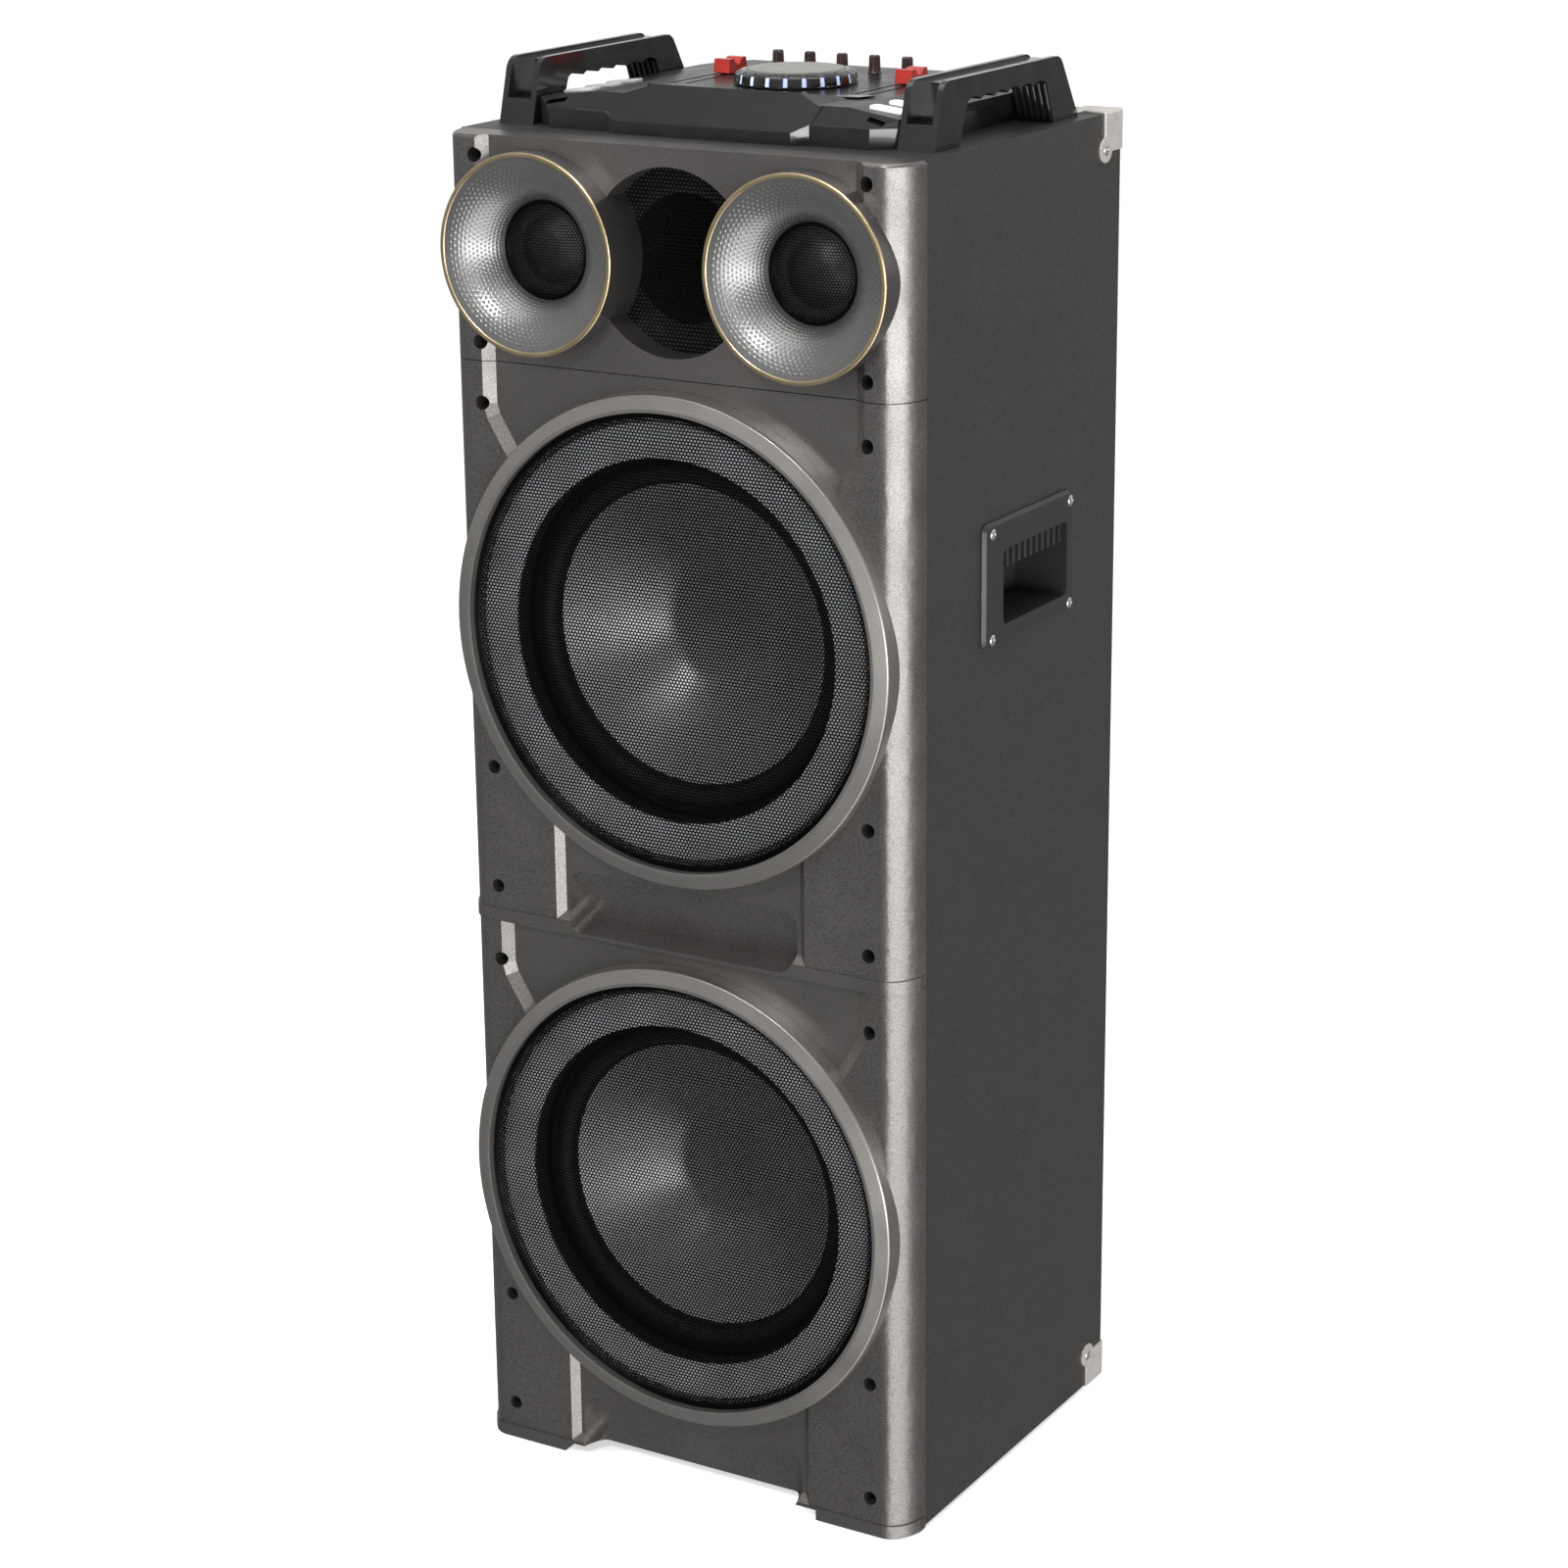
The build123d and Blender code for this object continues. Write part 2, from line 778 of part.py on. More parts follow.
    # the surround: a half roll between two flat lips, glued to the flange
    roll_front = -basket_flange - roll_height
    with BuildPart() as woofer_surround:
        with BuildSketch(section):
            with BuildLine():
                Line((lip, -basket_flange), (roll_outer - surround_skin, -basket_flange))
                ThreePointArc(
                    (roll_outer - surround_skin, -basket_flange),
                    (roll_middle, roll_front + surround_skin),
                    (roll_inner + surround_skin, -basket_flange),
                )
                Line((roll_inner + surround_skin, -basket_flange), (cone_radius + stroke_gap, -basket_flange))
                Line(
                    (cone_radius + stroke_gap, -basket_flange),
                    (cone_radius + stroke_gap, -basket_flange - surround_skin),
                )
                Line(
                    (cone_radius + stroke_gap, -basket_flange - surround_skin),
                    (roll_inner, -basket_flange - surround_skin),
                )
                ThreePointArc(
                    (roll_inner, -basket_flange - surround_skin),
                    (roll_middle, roll_front),
                    (roll_outer, -basket_flange - surround_skin),
                )
                Line((roll_outer, -basket_flange - surround_skin), (lip, -basket_flange - surround_skin))
                Line((lip, -basket_flange - surround_skin), (lip, -basket_flange))
            make_face()
        revolve(axis=axis)
    save(woofer_surround.part, f"woofer_surround_{place}")

    # the cone with its dust cap and the coil former that runs in the magnet's gap
    cone_front = -basket_flange - surround_skin
    neck = cone_front + cone_depth
    former_end = magnet_start + magnet_thickness - coil_end_gap
    with BuildPart() as woofer_cone:
        with BuildSketch(section):
            with BuildLine():
                Polyline(
                    (cone_radius, cone_front),
                    (cone_radius, cone_front + cone_wall),
                    (coil_radius + cone_wall, neck + cone_wall),
                    (coil_radius + former_wall, neck + cone_wall),
                    (coil_radius + former_wall, former_end),
                    (coil_radius, former_end),
                    (coil_radius, neck - neck_lap),
                    (cone_radius - cone_lip, cone_front),
                    close=True,
                )
            make_face()
        revolve(axis=axis)
        share = (dust_cap_radius - coil_radius) / (cone_radius - cone_lip - coil_radius)
        cap_depth = neck - neck_lap - (neck - neck_lap - cone_front) * share - cone_wall / 4
        cap_top = cap_depth - dust_cap_rise
        half = dust_cap_radius / 2
        fall = dome_fall(dust_cap_radius, dust_cap_rise, half)
        with BuildSketch(section):
            with BuildLine():
                Line((0, cap_top), (0, cap_top + cone_wall))
                ThreePointArc(
                    (0, cap_top + cone_wall),
                    (half, cap_top + fall + cone_wall),
                    (dust_cap_radius, cap_depth + cone_wall),
                )
                Line((dust_cap_radius, cap_depth + cone_wall), (dust_cap_radius, cap_depth))
                ThreePointArc((dust_cap_radius, cap_depth), (half, cap_top + fall), (0, cap_top))
            make_face()
        revolve(axis=axis)
    save(woofer_cone.part, f"woofer_cone_{place}")


# ---------------------------------------------------------------- horns and port
def horn():
    """Right horn, its tweeter, gold trim and mesh dome; the left ones mirror them."""
    section = turned(horn_spacing, horn_level)
    axis = turning_axis(horn_spacing, horn_level)
    skin = horn_wall
    flare_middle = (throat_radius + flare_out, -throat_depth - flare_forward)
    with BuildPart() as horn_body:
        with BuildSketch(section):
            with BuildLine():
                Polyline((horn_mouth_radius, -horn_front), (horn_radius, -horn_front), (horn_radius, 0))
                Polyline(
                    (horn_radius, 0),
                    (horn_radius - skin, 0),
                    (horn_radius - skin, -horn_front + 2 * skin),
                    (throat_radius + skin, -throat_depth + skin),
                    (throat_radius + skin, -throat_depth + 2 * skin),
                    (silk_opening, -throat_depth + 2 * skin),
                    (silk_opening, -throat_depth + skin),
                    (throat_radius, -throat_depth + skin),
                    (throat_radius, -throat_depth),
                )
                ThreePointArc((throat_radius, -throat_depth), flare_middle, (horn_mouth_radius, -horn_front))
            make_face()
        revolve(axis=axis)
    save_pair(horn_body.part, "horn_right", "horn_left")

    with BuildPart() as horn_trims:
        for side in (1, -1):
            with BuildSketch(facing(-horn_front)):
                with Locations((side * horn_spacing, horn_level)):
                    Circle(horn_radius)
                    Circle(horn_mouth_radius, mode=Mode.SUBTRACT)
            extrude(amount=trim_thickness)
        rims = horn_trims.edges().filter_by(GeomType.CIRCLE).group_by(Axis.Y)[0]
        fillet(rims, radius=0.4 * trim_thickness)
    save(horn_trims.part, "horn_trims")

    dome_edge = throat_radius - guard_rim
    rim = throat_radius - hole_clearance
    top = -throat_depth - tweeter_dome
    fall = dome_fall(dome_edge, tweeter_dome, dome_edge / 2)
    with BuildPart() as tweeter_grille:
        with BuildSketch(section):
            with BuildLine():
                inside = top + guard_skin
                back = -throat_depth + guard_skin
                Line((0, top), (0, inside))
                ThreePointArc((0, inside), (dome_edge / 2, inside + fall), (dome_edge, back))
                Polyline(
                    (dome_edge, back),
                    (rim, back),
                    (rim, -throat_depth),
                    (dome_edge, -throat_depth),
                )
                ThreePointArc((dome_edge, -throat_depth), (dome_edge / 2, top + fall), (0, top))
            make_face()
        revolve(axis=axis)
    with BuildPart() as tweeter_grilles:
        add(tweeter_grille.part)
        mirror(tweeter_grille.part, about=Plane.YZ)
    save(tweeter_grilles.part, "tweeter_grilles")

    with BuildPart() as tweeter_driver:
        seat = -throat_depth + 2 * skin + part_clearance
        with BuildSketch(section):
            with BuildLine():
                Polyline(
                    (0, seat - silk_dome),
                    (silk_radius / 2, seat - silk_shoulder),
                    (silk_radius, seat),
                    (driver_radius, seat),
                    (driver_radius, driver_depth),
                    (driver_magnet_radius, driver_depth),
                    (driver_magnet_radius, driver_depth + driver_magnet_thickness),
                    (0, driver_depth + driver_magnet_thickness),
                    close=True,
                )
            make_face()
        revolve(axis=axis)
    save_pair(tweeter_driver.part, "tweeter_driver_right", "tweeter_driver_left")


def port():
    with BuildPart() as port_tube:
        with BuildSketch(turned(0, horn_level)):
            with BuildLine():
                outer = port_tube_radius + port_tube_wall
                Polyline(
                    (port_tube_radius, 0),
                    (port_flange_radius, 0),
                    (port_flange_radius, port_tube_wall),
                    (outer, port_tube_wall),
                    (outer, port_tube_length),
                    (port_tube_radius, port_tube_length),
                    close=True,
                )
            make_face()
        revolve(axis=turning_axis(0, horn_level))
    save(port_tube.part, "port_tube")

    with BuildPart() as port_grille:
        with BuildSketch(facing(-hole_clearance)):
            with Locations((0, horn_level)):
                Circle(port_radius - hole_clearance)
            with Locations((horn_spacing, horn_level), (-horn_spacing, horn_level)):
                Circle(horn_radius + part_clearance, mode=Mode.SUBTRACT)
        extrude(amount=grille_thickness)
    save(port_grille.part, "port_grille")


# ---------------------------------------------------------------- handles and corners
def side_handle():
    """Recessed cup with a raised plate and a ribbed lip at its top."""
    plate_middle = (plate_start + plate_length / 2, plate_level + plate_height / 2)
    cup_middle = (cup_depth_start + cup_length / 2, cup_level + cup_height / 2)
    screw_middle_at = (
        plate_screw_start + plate_screw_length / 2,
        plate_screw_level + plate_screw_height / 2,
    )
    with BuildPart() as handle:
        with BuildSketch(sideways(half_width)):
            with Locations(plate_middle):
                RectangleRounded(plate_length, plate_height, plate_corner)
        extrude(amount=plate_thickness)
        chamfer(handle.faces().sort_by(Axis.X)[-1].edges(), length=plate_bevel)
        with BuildSketch(sideways(half_width - cup_reach)):
            with Locations(cup_middle):
                RectangleRounded(cup_length + 2 * cup_wall, cup_height + 2 * cup_wall, cup_round + cup_wall)
        extrude(amount=cup_reach)
        with BuildSketch(sideways(half_width - cup_reach + cup_wall)):
            with Locations(cup_middle):
                RectangleRounded(cup_length, cup_height, cup_round)
        extrude(amount=cup_reach + plate_thickness, mode=Mode.SUBTRACT)
        # upright slats along the top of the opening
        with BuildSketch(sideways(half_width - slat_reach)):
            slat_level = cup_level + cup_height - slat_height / 2
            slat_pitch = cup_length / slat_count
            with Locations((cup_middle[0], slat_level)):
                with GridLocations(slat_pitch, slat_height, slat_count, 1):
                    Rectangle(slat_pitch * slat_share, slat_height)
        extrude(amount=slat_reach)
        with BuildSketch(sideways(half_width)):
            with Locations(screw_middle_at):
                with GridLocations(plate_screw_length, plate_screw_height, 2, 2):
                    Circle(screw_shaft_radius)
        extrude(amount=plate_thickness, mode=Mode.SUBTRACT)
    save_pair(handle.part, "side_handle_right", "side_handle_left")


def corners():
    """One protector over each rear corner, made at the upper right and mirrored."""
    leg = protector_leg + protector_thickness
    corner_x, corner_y, corner_z = half_width, y_at(cabinet_depth), z_at(cabinet_height)
    inset = protector_screw_inset
    lobes = [
        (sideways(half_width), (cabinet_depth - inset, cabinet_height - inset), 1),
        (facing(cabinet_depth), (half_width - inset, cabinet_height - inset), -1),
        (flat(cabinet_height), (half_width - inset, cabinet_depth - inset), 1),
    ]
    with BuildPart() as protector:
        with Locations((corner_x - protector_leg, corner_y - protector_leg, corner_z - protector_leg)):
            Box(leg, leg, leg, align=(Align.MIN, Align.MIN, Align.MIN))
        rounded = protector.edges().filter_by(
            lambda edge: edge.center().X + edge.center().Y + edge.center().Z
            > corner_x + corner_y + corner_z - protector_leg
        )
        fillet(rounded, radius=protector_round)
        with Locations((corner_x, corner_y, corner_z)):
            Box(3 * leg, 3 * leg, 3 * leg, align=(Align.MAX, Align.MAX, Align.MAX), mode=Mode.SUBTRACT)
        for plane, place, outward in lobes:
            with BuildSketch(plane):
                with Locations(place):
                    Circle(protector_lobe_radius)
            extrude(amount=outward * protector_thickness)
        for plane, place, outward in lobes:
            with BuildSketch(plane):
                with Locations(place):
                    Circle(screw_shaft_radius)
            extrude(amount=outward * protector_thickness, mode=Mode.SUBTRACT)
    with BuildPart() as protector_screws:
        for plane, place, outward in lobes:
            with BuildSketch(plane.offset(outward * protector_thickness)):
                with Locations(place):
                    Circle(screw_head_radius)
            extrude(amount=outward * rivet_height)
            with BuildSketch(plane):
                with Locations(place):
                    Circle(screw_shaft_radius - hole_clearance)
            extrude(amount=outward * protector_thickness)
    middle_plane = Plane.XY.offset(z_at(cabinet_height / 2))
    with BuildPart() as corner_protectors:
        add(protector.part)
        mirror(corner_protectors.part, about=Plane.YZ)
        mirror(corner_protectors.part, about=middle_plane)
    save(corner_protectors.part, "corner_protectors")

    with BuildPart() as cabinet_screws:
        add(protector_screws.part)
        mirror(cabinet_screws.part, about=Plane.YZ)
        mirror(cabinet_screws.part, about=middle_plane)
        # the four screws of each side handle
        plate_middle = (
            plate_screw_start + plate_screw_length / 2,
            plate_screw_level + plate_screw_height / 2,
        )
        for side in (-1, 1):
            with BuildSketch(sideways(side * (half_width + plate_thickness))):
                with Locations(plate_middle):
                    with GridLocations(plate_screw_length, plate_screw_height, 2, 2):
                        Circle(screw_head_radius)
            extrude(amount=side * rivet_height)
            with BuildSketch(sideways(side * half_width)):
                with Locations(plate_middle):
                    with GridLocations(plate_screw_length, plate_screw_height, 2, 2):
                        Circle(screw_shaft_radius - hole_clearance)
            extrude(amount=side * plate_thickness)
        # the screws round the rear plate
        with BuildSketch(facing(cabinet_depth + amp_plate)):
            with Locations(*amp_screw_places()):
                Circle(screw_head_radius)
        extrude(amount=-rivet_height)
        with BuildSketch(facing(cabinet_depth)):
            with Locations(*amp_screw_places()):
                Circle(screw_shaft_radius - hole_clearance)
        extrude(amount=-amp_plate)
    save(cabinet_screws.part, "cabinet_screws")


def top_handle():
    """Carry handle: a hollow-fronted bar over a finger opening with a scalloped top."""
    scallop = (window_end - window_start - 2 * scallop_margin) / scallop_count
    window_top = cabinet_height + window_height
    first = window_start + scallop_margin
    with BuildPart() as handle:
        with BuildSketch(sideways(grip_inner)) as outline:
            with BuildLine():
                Polyline(
                    (grip_start, cabinet_height),
                    (grip_front_top, cabinet_height + grip_height),
                    (grip_rear_top, cabinet_height + grip_height),
                    (grip_end, cabinet_height),
                    close=True,
                )
            make_face()
            fillet(outline.vertices().group_by(Axis.Y)[-1], radius=grip_round)
        extrude(amount=grip_width)
        # finger opening right through, with a scalloped upper edge
        with BuildSketch(sideways(grip_inner)):
            with BuildLine():
                Polyline(
                    (first, window_top),
                    (window_start, cabinet_height),
                    (window_end, cabinet_height),
                    (first + scallop * scallop_count, window_top),
                )
                for step in range(scallop_count):
                    start = first + scallop * step
                    ThreePointArc(
                        (start, window_top),
                        (start + scallop / 2, window_top + scallop_rise),
                        (start + scallop, window_top),
                    )
            make_face()
        extrude(amount=grip_width, mode=Mode.SUBTRACT)
        # hollow front and rear, and a shallow groove along the top
        groove = grip_width - 2 * grip_wall
        with BuildSketch(sideways(grip_inner + grip_wall)):
            with Locations((grip_start, cabinet_height + groove_floor + grip_height / 2)):
                Rectangle(2 * groove_reach, grip_height)
            with Locations((grip_end, cabinet_height + groove_floor + grip_height / 2)):
                Rectangle(2 * groove_reach, grip_height)
            with Locations(((grip_start + grip_end) / 2, cabinet_height + grip_height)):
                Rectangle(grip_end - grip_start, 2 * groove_depth)
        extrude(amount=groove, mode=Mode.SUBTRACT)
    save_pair(handle.part, "top_handle_right", "top_handle_left")


# ---------------------------------------------------------------- console
def plan_points():
    """Outline of the console seen from above, as x and depth."""
    right = [
        (nose_half_width, console_front),
        (nose_shoulder, console_side_front),
        (console_corner_x, console_side_front),
        (console_half_width, console_corner_depth),
        (console_half_width, console_end - console_rear_cut),
        (console_half_width - console_rear_cut, console_end),
    ]
    return right + [(-x, depth) for x, depth in reversed(right)]


def split_points(height):
    """The line between base and deck seen from the front, closed over at this height, as x and level."""
    right = [
        (nose_half_width, cabinet_height + base_centre_height),
        (nose_shoulder, cabinet_height + base_side_height),
        (cabinet_width, cabinet_height + base_side_height),
        (cabinet_width, cabinet_height + height),
    ]
    return right + [(-x, level) for x, level in reversed(right)]


def console():
    with BuildPart() as console_base:
        with BuildSketch(flat(cabinet_height)):
            with BuildLine():
                Polyline(*plan_points(), close=True)
            make_face()
        extrude(amount=deck_height)
        with BuildSketch(facing(console_end)):
            with BuildLine():
                Polyline(*split_points(2 * deck_height), close=True)
            make_face()
        extrude(amount=console_end, mode=Mode.SUBTRACT)
        with BuildSketch(flat(cabinet_height + deck_wall)):
            with Locations((0, (deck_front + console_end) / 2)):
                Rectangle(2 * (console_half_width - 2 * deck_wall), console_end - deck_front - 4 * deck_wall)
        extrude(amount=deck_height, mode=Mode.SUBTRACT)
    save(console_base.part, "console_base")

    # side deck with its sloping front, and the raised nose in the middle
    side_face = [
        (deck_toe, cabinet_height + base_side_height),
        (deck_front, deck_level),
        (console_end, deck_level),
        (console_end, cabinet_height),
        (deck_toe, cabinet_height),
    ]
    nose_face = [
        (console_front, cabinet_height + base_centre_height),
        (ridge_depth, cabinet_height + ridge_height),
        (ridge_back, deck_level),
        (ridge_back, cabinet_height),
        (console_front, cabinet_height),
    ]
    drop = (console_half_width - deck_edge_x) * tan(radians(deck_slope))
    with BuildPart() as console_deck:
        with BuildSketch(sideways(-nose_shoulder)):
            with BuildLine():
                Polyline(*nose_face, close=True)
            make_face()
        extrude(amount=2 * nose_shoulder)
        for side in (-1, 1):
            with BuildSketch(facing(ridge_back)):
                with BuildLine():
                    Polyline(
                        (side * ridge_half_width, cabinet_height + ridge_height),
                        (side * ridge_foot_half_width, deck_level),
                        (side * cabinet_width, deck_level),
                        (side * cabinet_width, cabinet_height + 2 * ridge_height),
                        (side * ridge_half_width, cabinet_height + 2 * ridge_height),
                        close=True,
                    )
                make_face()
            extrude(amount=ridge_back, mode=Mode.SUBTRACT)
        with BuildSketch(sideways(-console_half_width)):
            with BuildLine():
                Polyline(*side_face, close=True)
            make_face()
        extrude(amount=2 * console_half_width)
        # the outer strips of the deck fall away to the sides
        for side in (-1, 1):
            with BuildSketch(facing(console_end)):
                with BuildLine():
                    Polyline(
                        (side * deck_edge_x, deck_level),
                        (side * console_half_width, deck_level - drop),
                        (side * console_half_width, deck_level + drop),
                        (side * deck_edge_x, deck_level + drop),
                        close=True,
                    )
                make_face()
            extrude(amount=console_end, mode=Mode.SUBTRACT)
        with BuildSketch(flat(cabinet_height)):
            with BuildLine():
                Polyline(*plan_points(), close=True)
            make_face()
        extrude(amount=2 * ridge_height, mode=Mode.INTERSECT)
        # what the base fills is taken away, then the hollow over it
        with BuildSketch(facing(console_end)):
            with BuildLine():
                Polyline(*split_points(-deck_height), close=True)
            make_face()
        extrude(amount=console_end, mode=Mode.SUBTRACT)
        room = (deck_front + 4 * deck_wall, console_end - 3 * deck_wall)
        for width, height in (
            (2 * (deck_edge_x - deck_wall), deck_height - deck_wall),
            (2 * (console_half_width - 2 * deck_wall), deck_height - drop - deck_wall),
        ):
            with BuildSketch(flat(cabinet_height)):
                with Locations((0, sum(room) / 2)):
                    Rectangle(width, room[1] - room[0])
            extrude(amount=height, mode=Mode.SUBTRACT)
        # openings for the moving parts, the display window and a small slot in each front corner
        with BuildSketch(flat(deck_level + drop)):
            with Locations((0, jog_depth)):
                Circle(spindle_radius + running_gap)
            for x in knob_places():
                with Locations((x, knob_depth)):
                    Circle(knob_shaft_radius + running_gap)
            slot_length = fader_slot_end - fader_slot_start
            slot_middle = (fader_slot_end + fader_slot_start) / 2
            with Locations((fader_x, slot_middle), (-fader_x, slot_middle)):
                with GridLocations(fader_slot_spacing, slot_length, 2, 1):
                    Rectangle(fader_slot_width, slot_length)
        extrude(amount=-deck_height, mode=Mode.SUBTRACT)
        for side in (-1, 1):
            for number in range(pad_count):
                with BuildSketch(pad_plane(side, number)):
                    room = 2 * part_clearance
                    RectangleRounded(pad_length + room, pad_width + room, pad_round)
                extrude(amount=-2 * deck_wall - drop, mode=Mode.SUBTRACT)
            with BuildSketch(flat(deck_level)):
                with BuildLine():
                    Polyline(*[(side * x, depth) for x, depth in display_outline], close=True)
                make_face()
            extrude(amount=-window_pocket, mode=Mode.SUBTRACT)
            with BuildSketch(facing(0)):
                with Locations((side * corner_slot_x, cabinet_height + corner_slot_level)):
                    Rectangle(corner_slot_length, corner_slot_height, rotation=-side * corner_slot_tilt)
            extrude(amount=-deck_front, mode=Mode.SUBTRACT)
    save(console_deck.part, "console_deck")


def knob_places():
    return [knob_pitch * (number - (knob_count - 1) / 2) for number in range(knob_count)]


def pad_plane(side, number):
    """Plane on the sloping strip of the deck at the middle of one pad, counted from the front."""
    slope = radians(deck_slope)
    fall = (pad_x - deck_edge_x) * tan(slope)
    place = (side * pad_x, y_at(pad_first_depth + number * pad_pitch), z_at(deck_level - fall))
    along = (cos(slope), 0, -side * sin(slope))
    return Plane(origin=place, x_dir=along, z_dir=(side * sin(slope), 0, cos(slope)))


def jog():
    """The wheel turns on its spindle; its disc is pressed into the top."""
    foot = jog_lift
    section = standing(0, jog_depth, deck_level + foot)
    axis = standing_axis(0, jog_depth)
    shoulder = jog_disc_radius + jog_disc_rim
    with BuildPart() as jog_wheel:
        with BuildSketch(section):
            with BuildLine():
                Polyline(
                    (0, -deck_wall - spindle_tail),
                    (spindle_radius, -deck_wall - spindle_tail),
                    (spindle_radius, 0),
                    (jog_radius, 0),
                    (jog_radius - jog_side_lean, jog_height - jog_side_drop),
                    (jog_radius - jog_shoulder, jog_height - jog_shoulder_drop),
                    (shoulder, jog_height),
                    (shoulder, jog_height - jog_disc_thickness),
                    (0, jog_height - jog_disc_thickness),
                    close=True,
                )
            make_face()
        revolve(axis=axis)
        # the grips between the windows
        with BuildSketch(flat(deck_level + foot + jog_window_sill)):
            with Locations((0, jog_depth)):
                with PolarLocations(jog_radius, jog_window_count):
                    Rectangle(2 * jog_window_depth, jog_window_width)
        extrude(amount=jog_height - jog_window_sill - jog_window_head, mode=Mode.SUBTRACT)
    save(jog_wheel.part, "jog_wheel")

    with BuildPart() as jog_disc:
        with BuildSketch(section):
            with BuildLine():
                Polyline(
                    (0, jog_height - jog_disc_thickness),
                    (jog_disc_radius, jog_height - jog_disc_thickness),
                    (jog_disc_radius, jog_height),
                    (jog_disc_radius - jog_disc_round, jog_height + jog_disc_crown),
                    (0, jog_height + jog_disc_crown),
                    close=True,
                )
            make_face()
        revolve(axis=axis)
    save(jog_disc.part, "jog_disc")


def fader():
    """Saddle-shaped cap on two blades that run in the deck's slots."""
    bottom = deck_level + fader_lift
    valley = bottom + fader_valley_height
    top = bottom + fader_cap_height
    with BuildPart() as fader_cap:
        with BuildSketch(sideways(fader_x - fader_cap_width / 2)):
            half = fader_cap_length / 2
            with BuildLine():
                Polyline(
                    (fader_depth - half, bottom),
                    (fader_depth - half + fader_lean, top),
                    (fader_depth - half + fader_horn, top),
                    (fader_depth - fader_valley, valley),
                    (fader_depth + fader_valley, valley),
                    (fader_depth + half - fader_horn, top),
                    (fader_depth + half - fader_lean, top),
                    (fader_depth + half, bottom),
                    close=True,
                )
            make_face()
        extrude(amount=fader_cap_width)
        blade = fader_slot_width - 4 * part_clearance
        with BuildSketch(flat(bottom)):
            with Locations((fader_x, fader_depth)):
                with GridLocations(fader_slot_spacing, fader_cap_length, 2, 1):
                    Rectangle(blade, fader_blade_length)
        extrude(amount=-deck_wall - fader_blade_reach)
    save_pair(fader_cap.part, "fader_right", "fader_left")


def knobs():
    for number, x in enumerate(knob_places()):
        with BuildPart() as knob:
            with BuildSketch(standing(x, knob_depth, deck_level + 2 * part_clearance)):
                with BuildLine():
                    Polyline(
                        (0, -deck_wall - knob_shaft_tail),
                        (knob_shaft_radius, -deck_wall - knob_shaft_tail),
                        (knob_shaft_radius, 0),
                        (knob_radius + knob_skirt, 0),
                        (knob_radius + knob_skirt, knob_skirt_height),
                        (knob_radius, knob_skirt_height + knob_skirt),
                        (knob_radius - knob_lean, knob_height - knob_round),
                        (knob_radius - knob_lean - knob_round, knob_height),
                        (0, knob_height),
                        close=True,
                    )
                make_face()
            revolve(axis=standing_axis(x, knob_depth))
            with BuildSketch(flat(deck_level + knob_flute_start)):
                with Locations((x, knob_depth)):
                    with PolarLocations(knob_radius + knob_skirt, knob_flutes):
                        Circle(knob_flute_radius)
            extrude(amount=knob_height, mode=Mode.SUBTRACT)
        save(knob.part, f"knob_{number + 1}")


def pads():
    for number in range(pad_count):
        with BuildPart() as pad:
            with BuildSketch(pad_plane(1, number).offset(-2 * deck_wall)):
                RectangleRounded(pad_length, pad_width, pad_round)
            extrude(amount=2 * deck_wall + pad_proud)
            fillet(pad.faces().sort_by(Axis.Z)[-1].edges(), radius=0.5 * pad_proud)
        save_pair(pad.part, f"pad_right_{number + 1}", f"pad_left_{number + 1}")


# ---------------------------------------------------------------- rear panel and electronics
def amp_screw_places():
    """Round the edge of the rear plate: three down each side and one at the middle of the top and bottom."""
    across = amp_width / 2 - amp_screw_inset
    up = amp_height / 2 - amp_screw_inset
    middle = amp_level + amp_height / 2
    sides = [(x, middle + rise) for x in (-across, across) for rise in (-up, 0, up)]
    return sides + [(0, middle - up), (0, middle + up)]


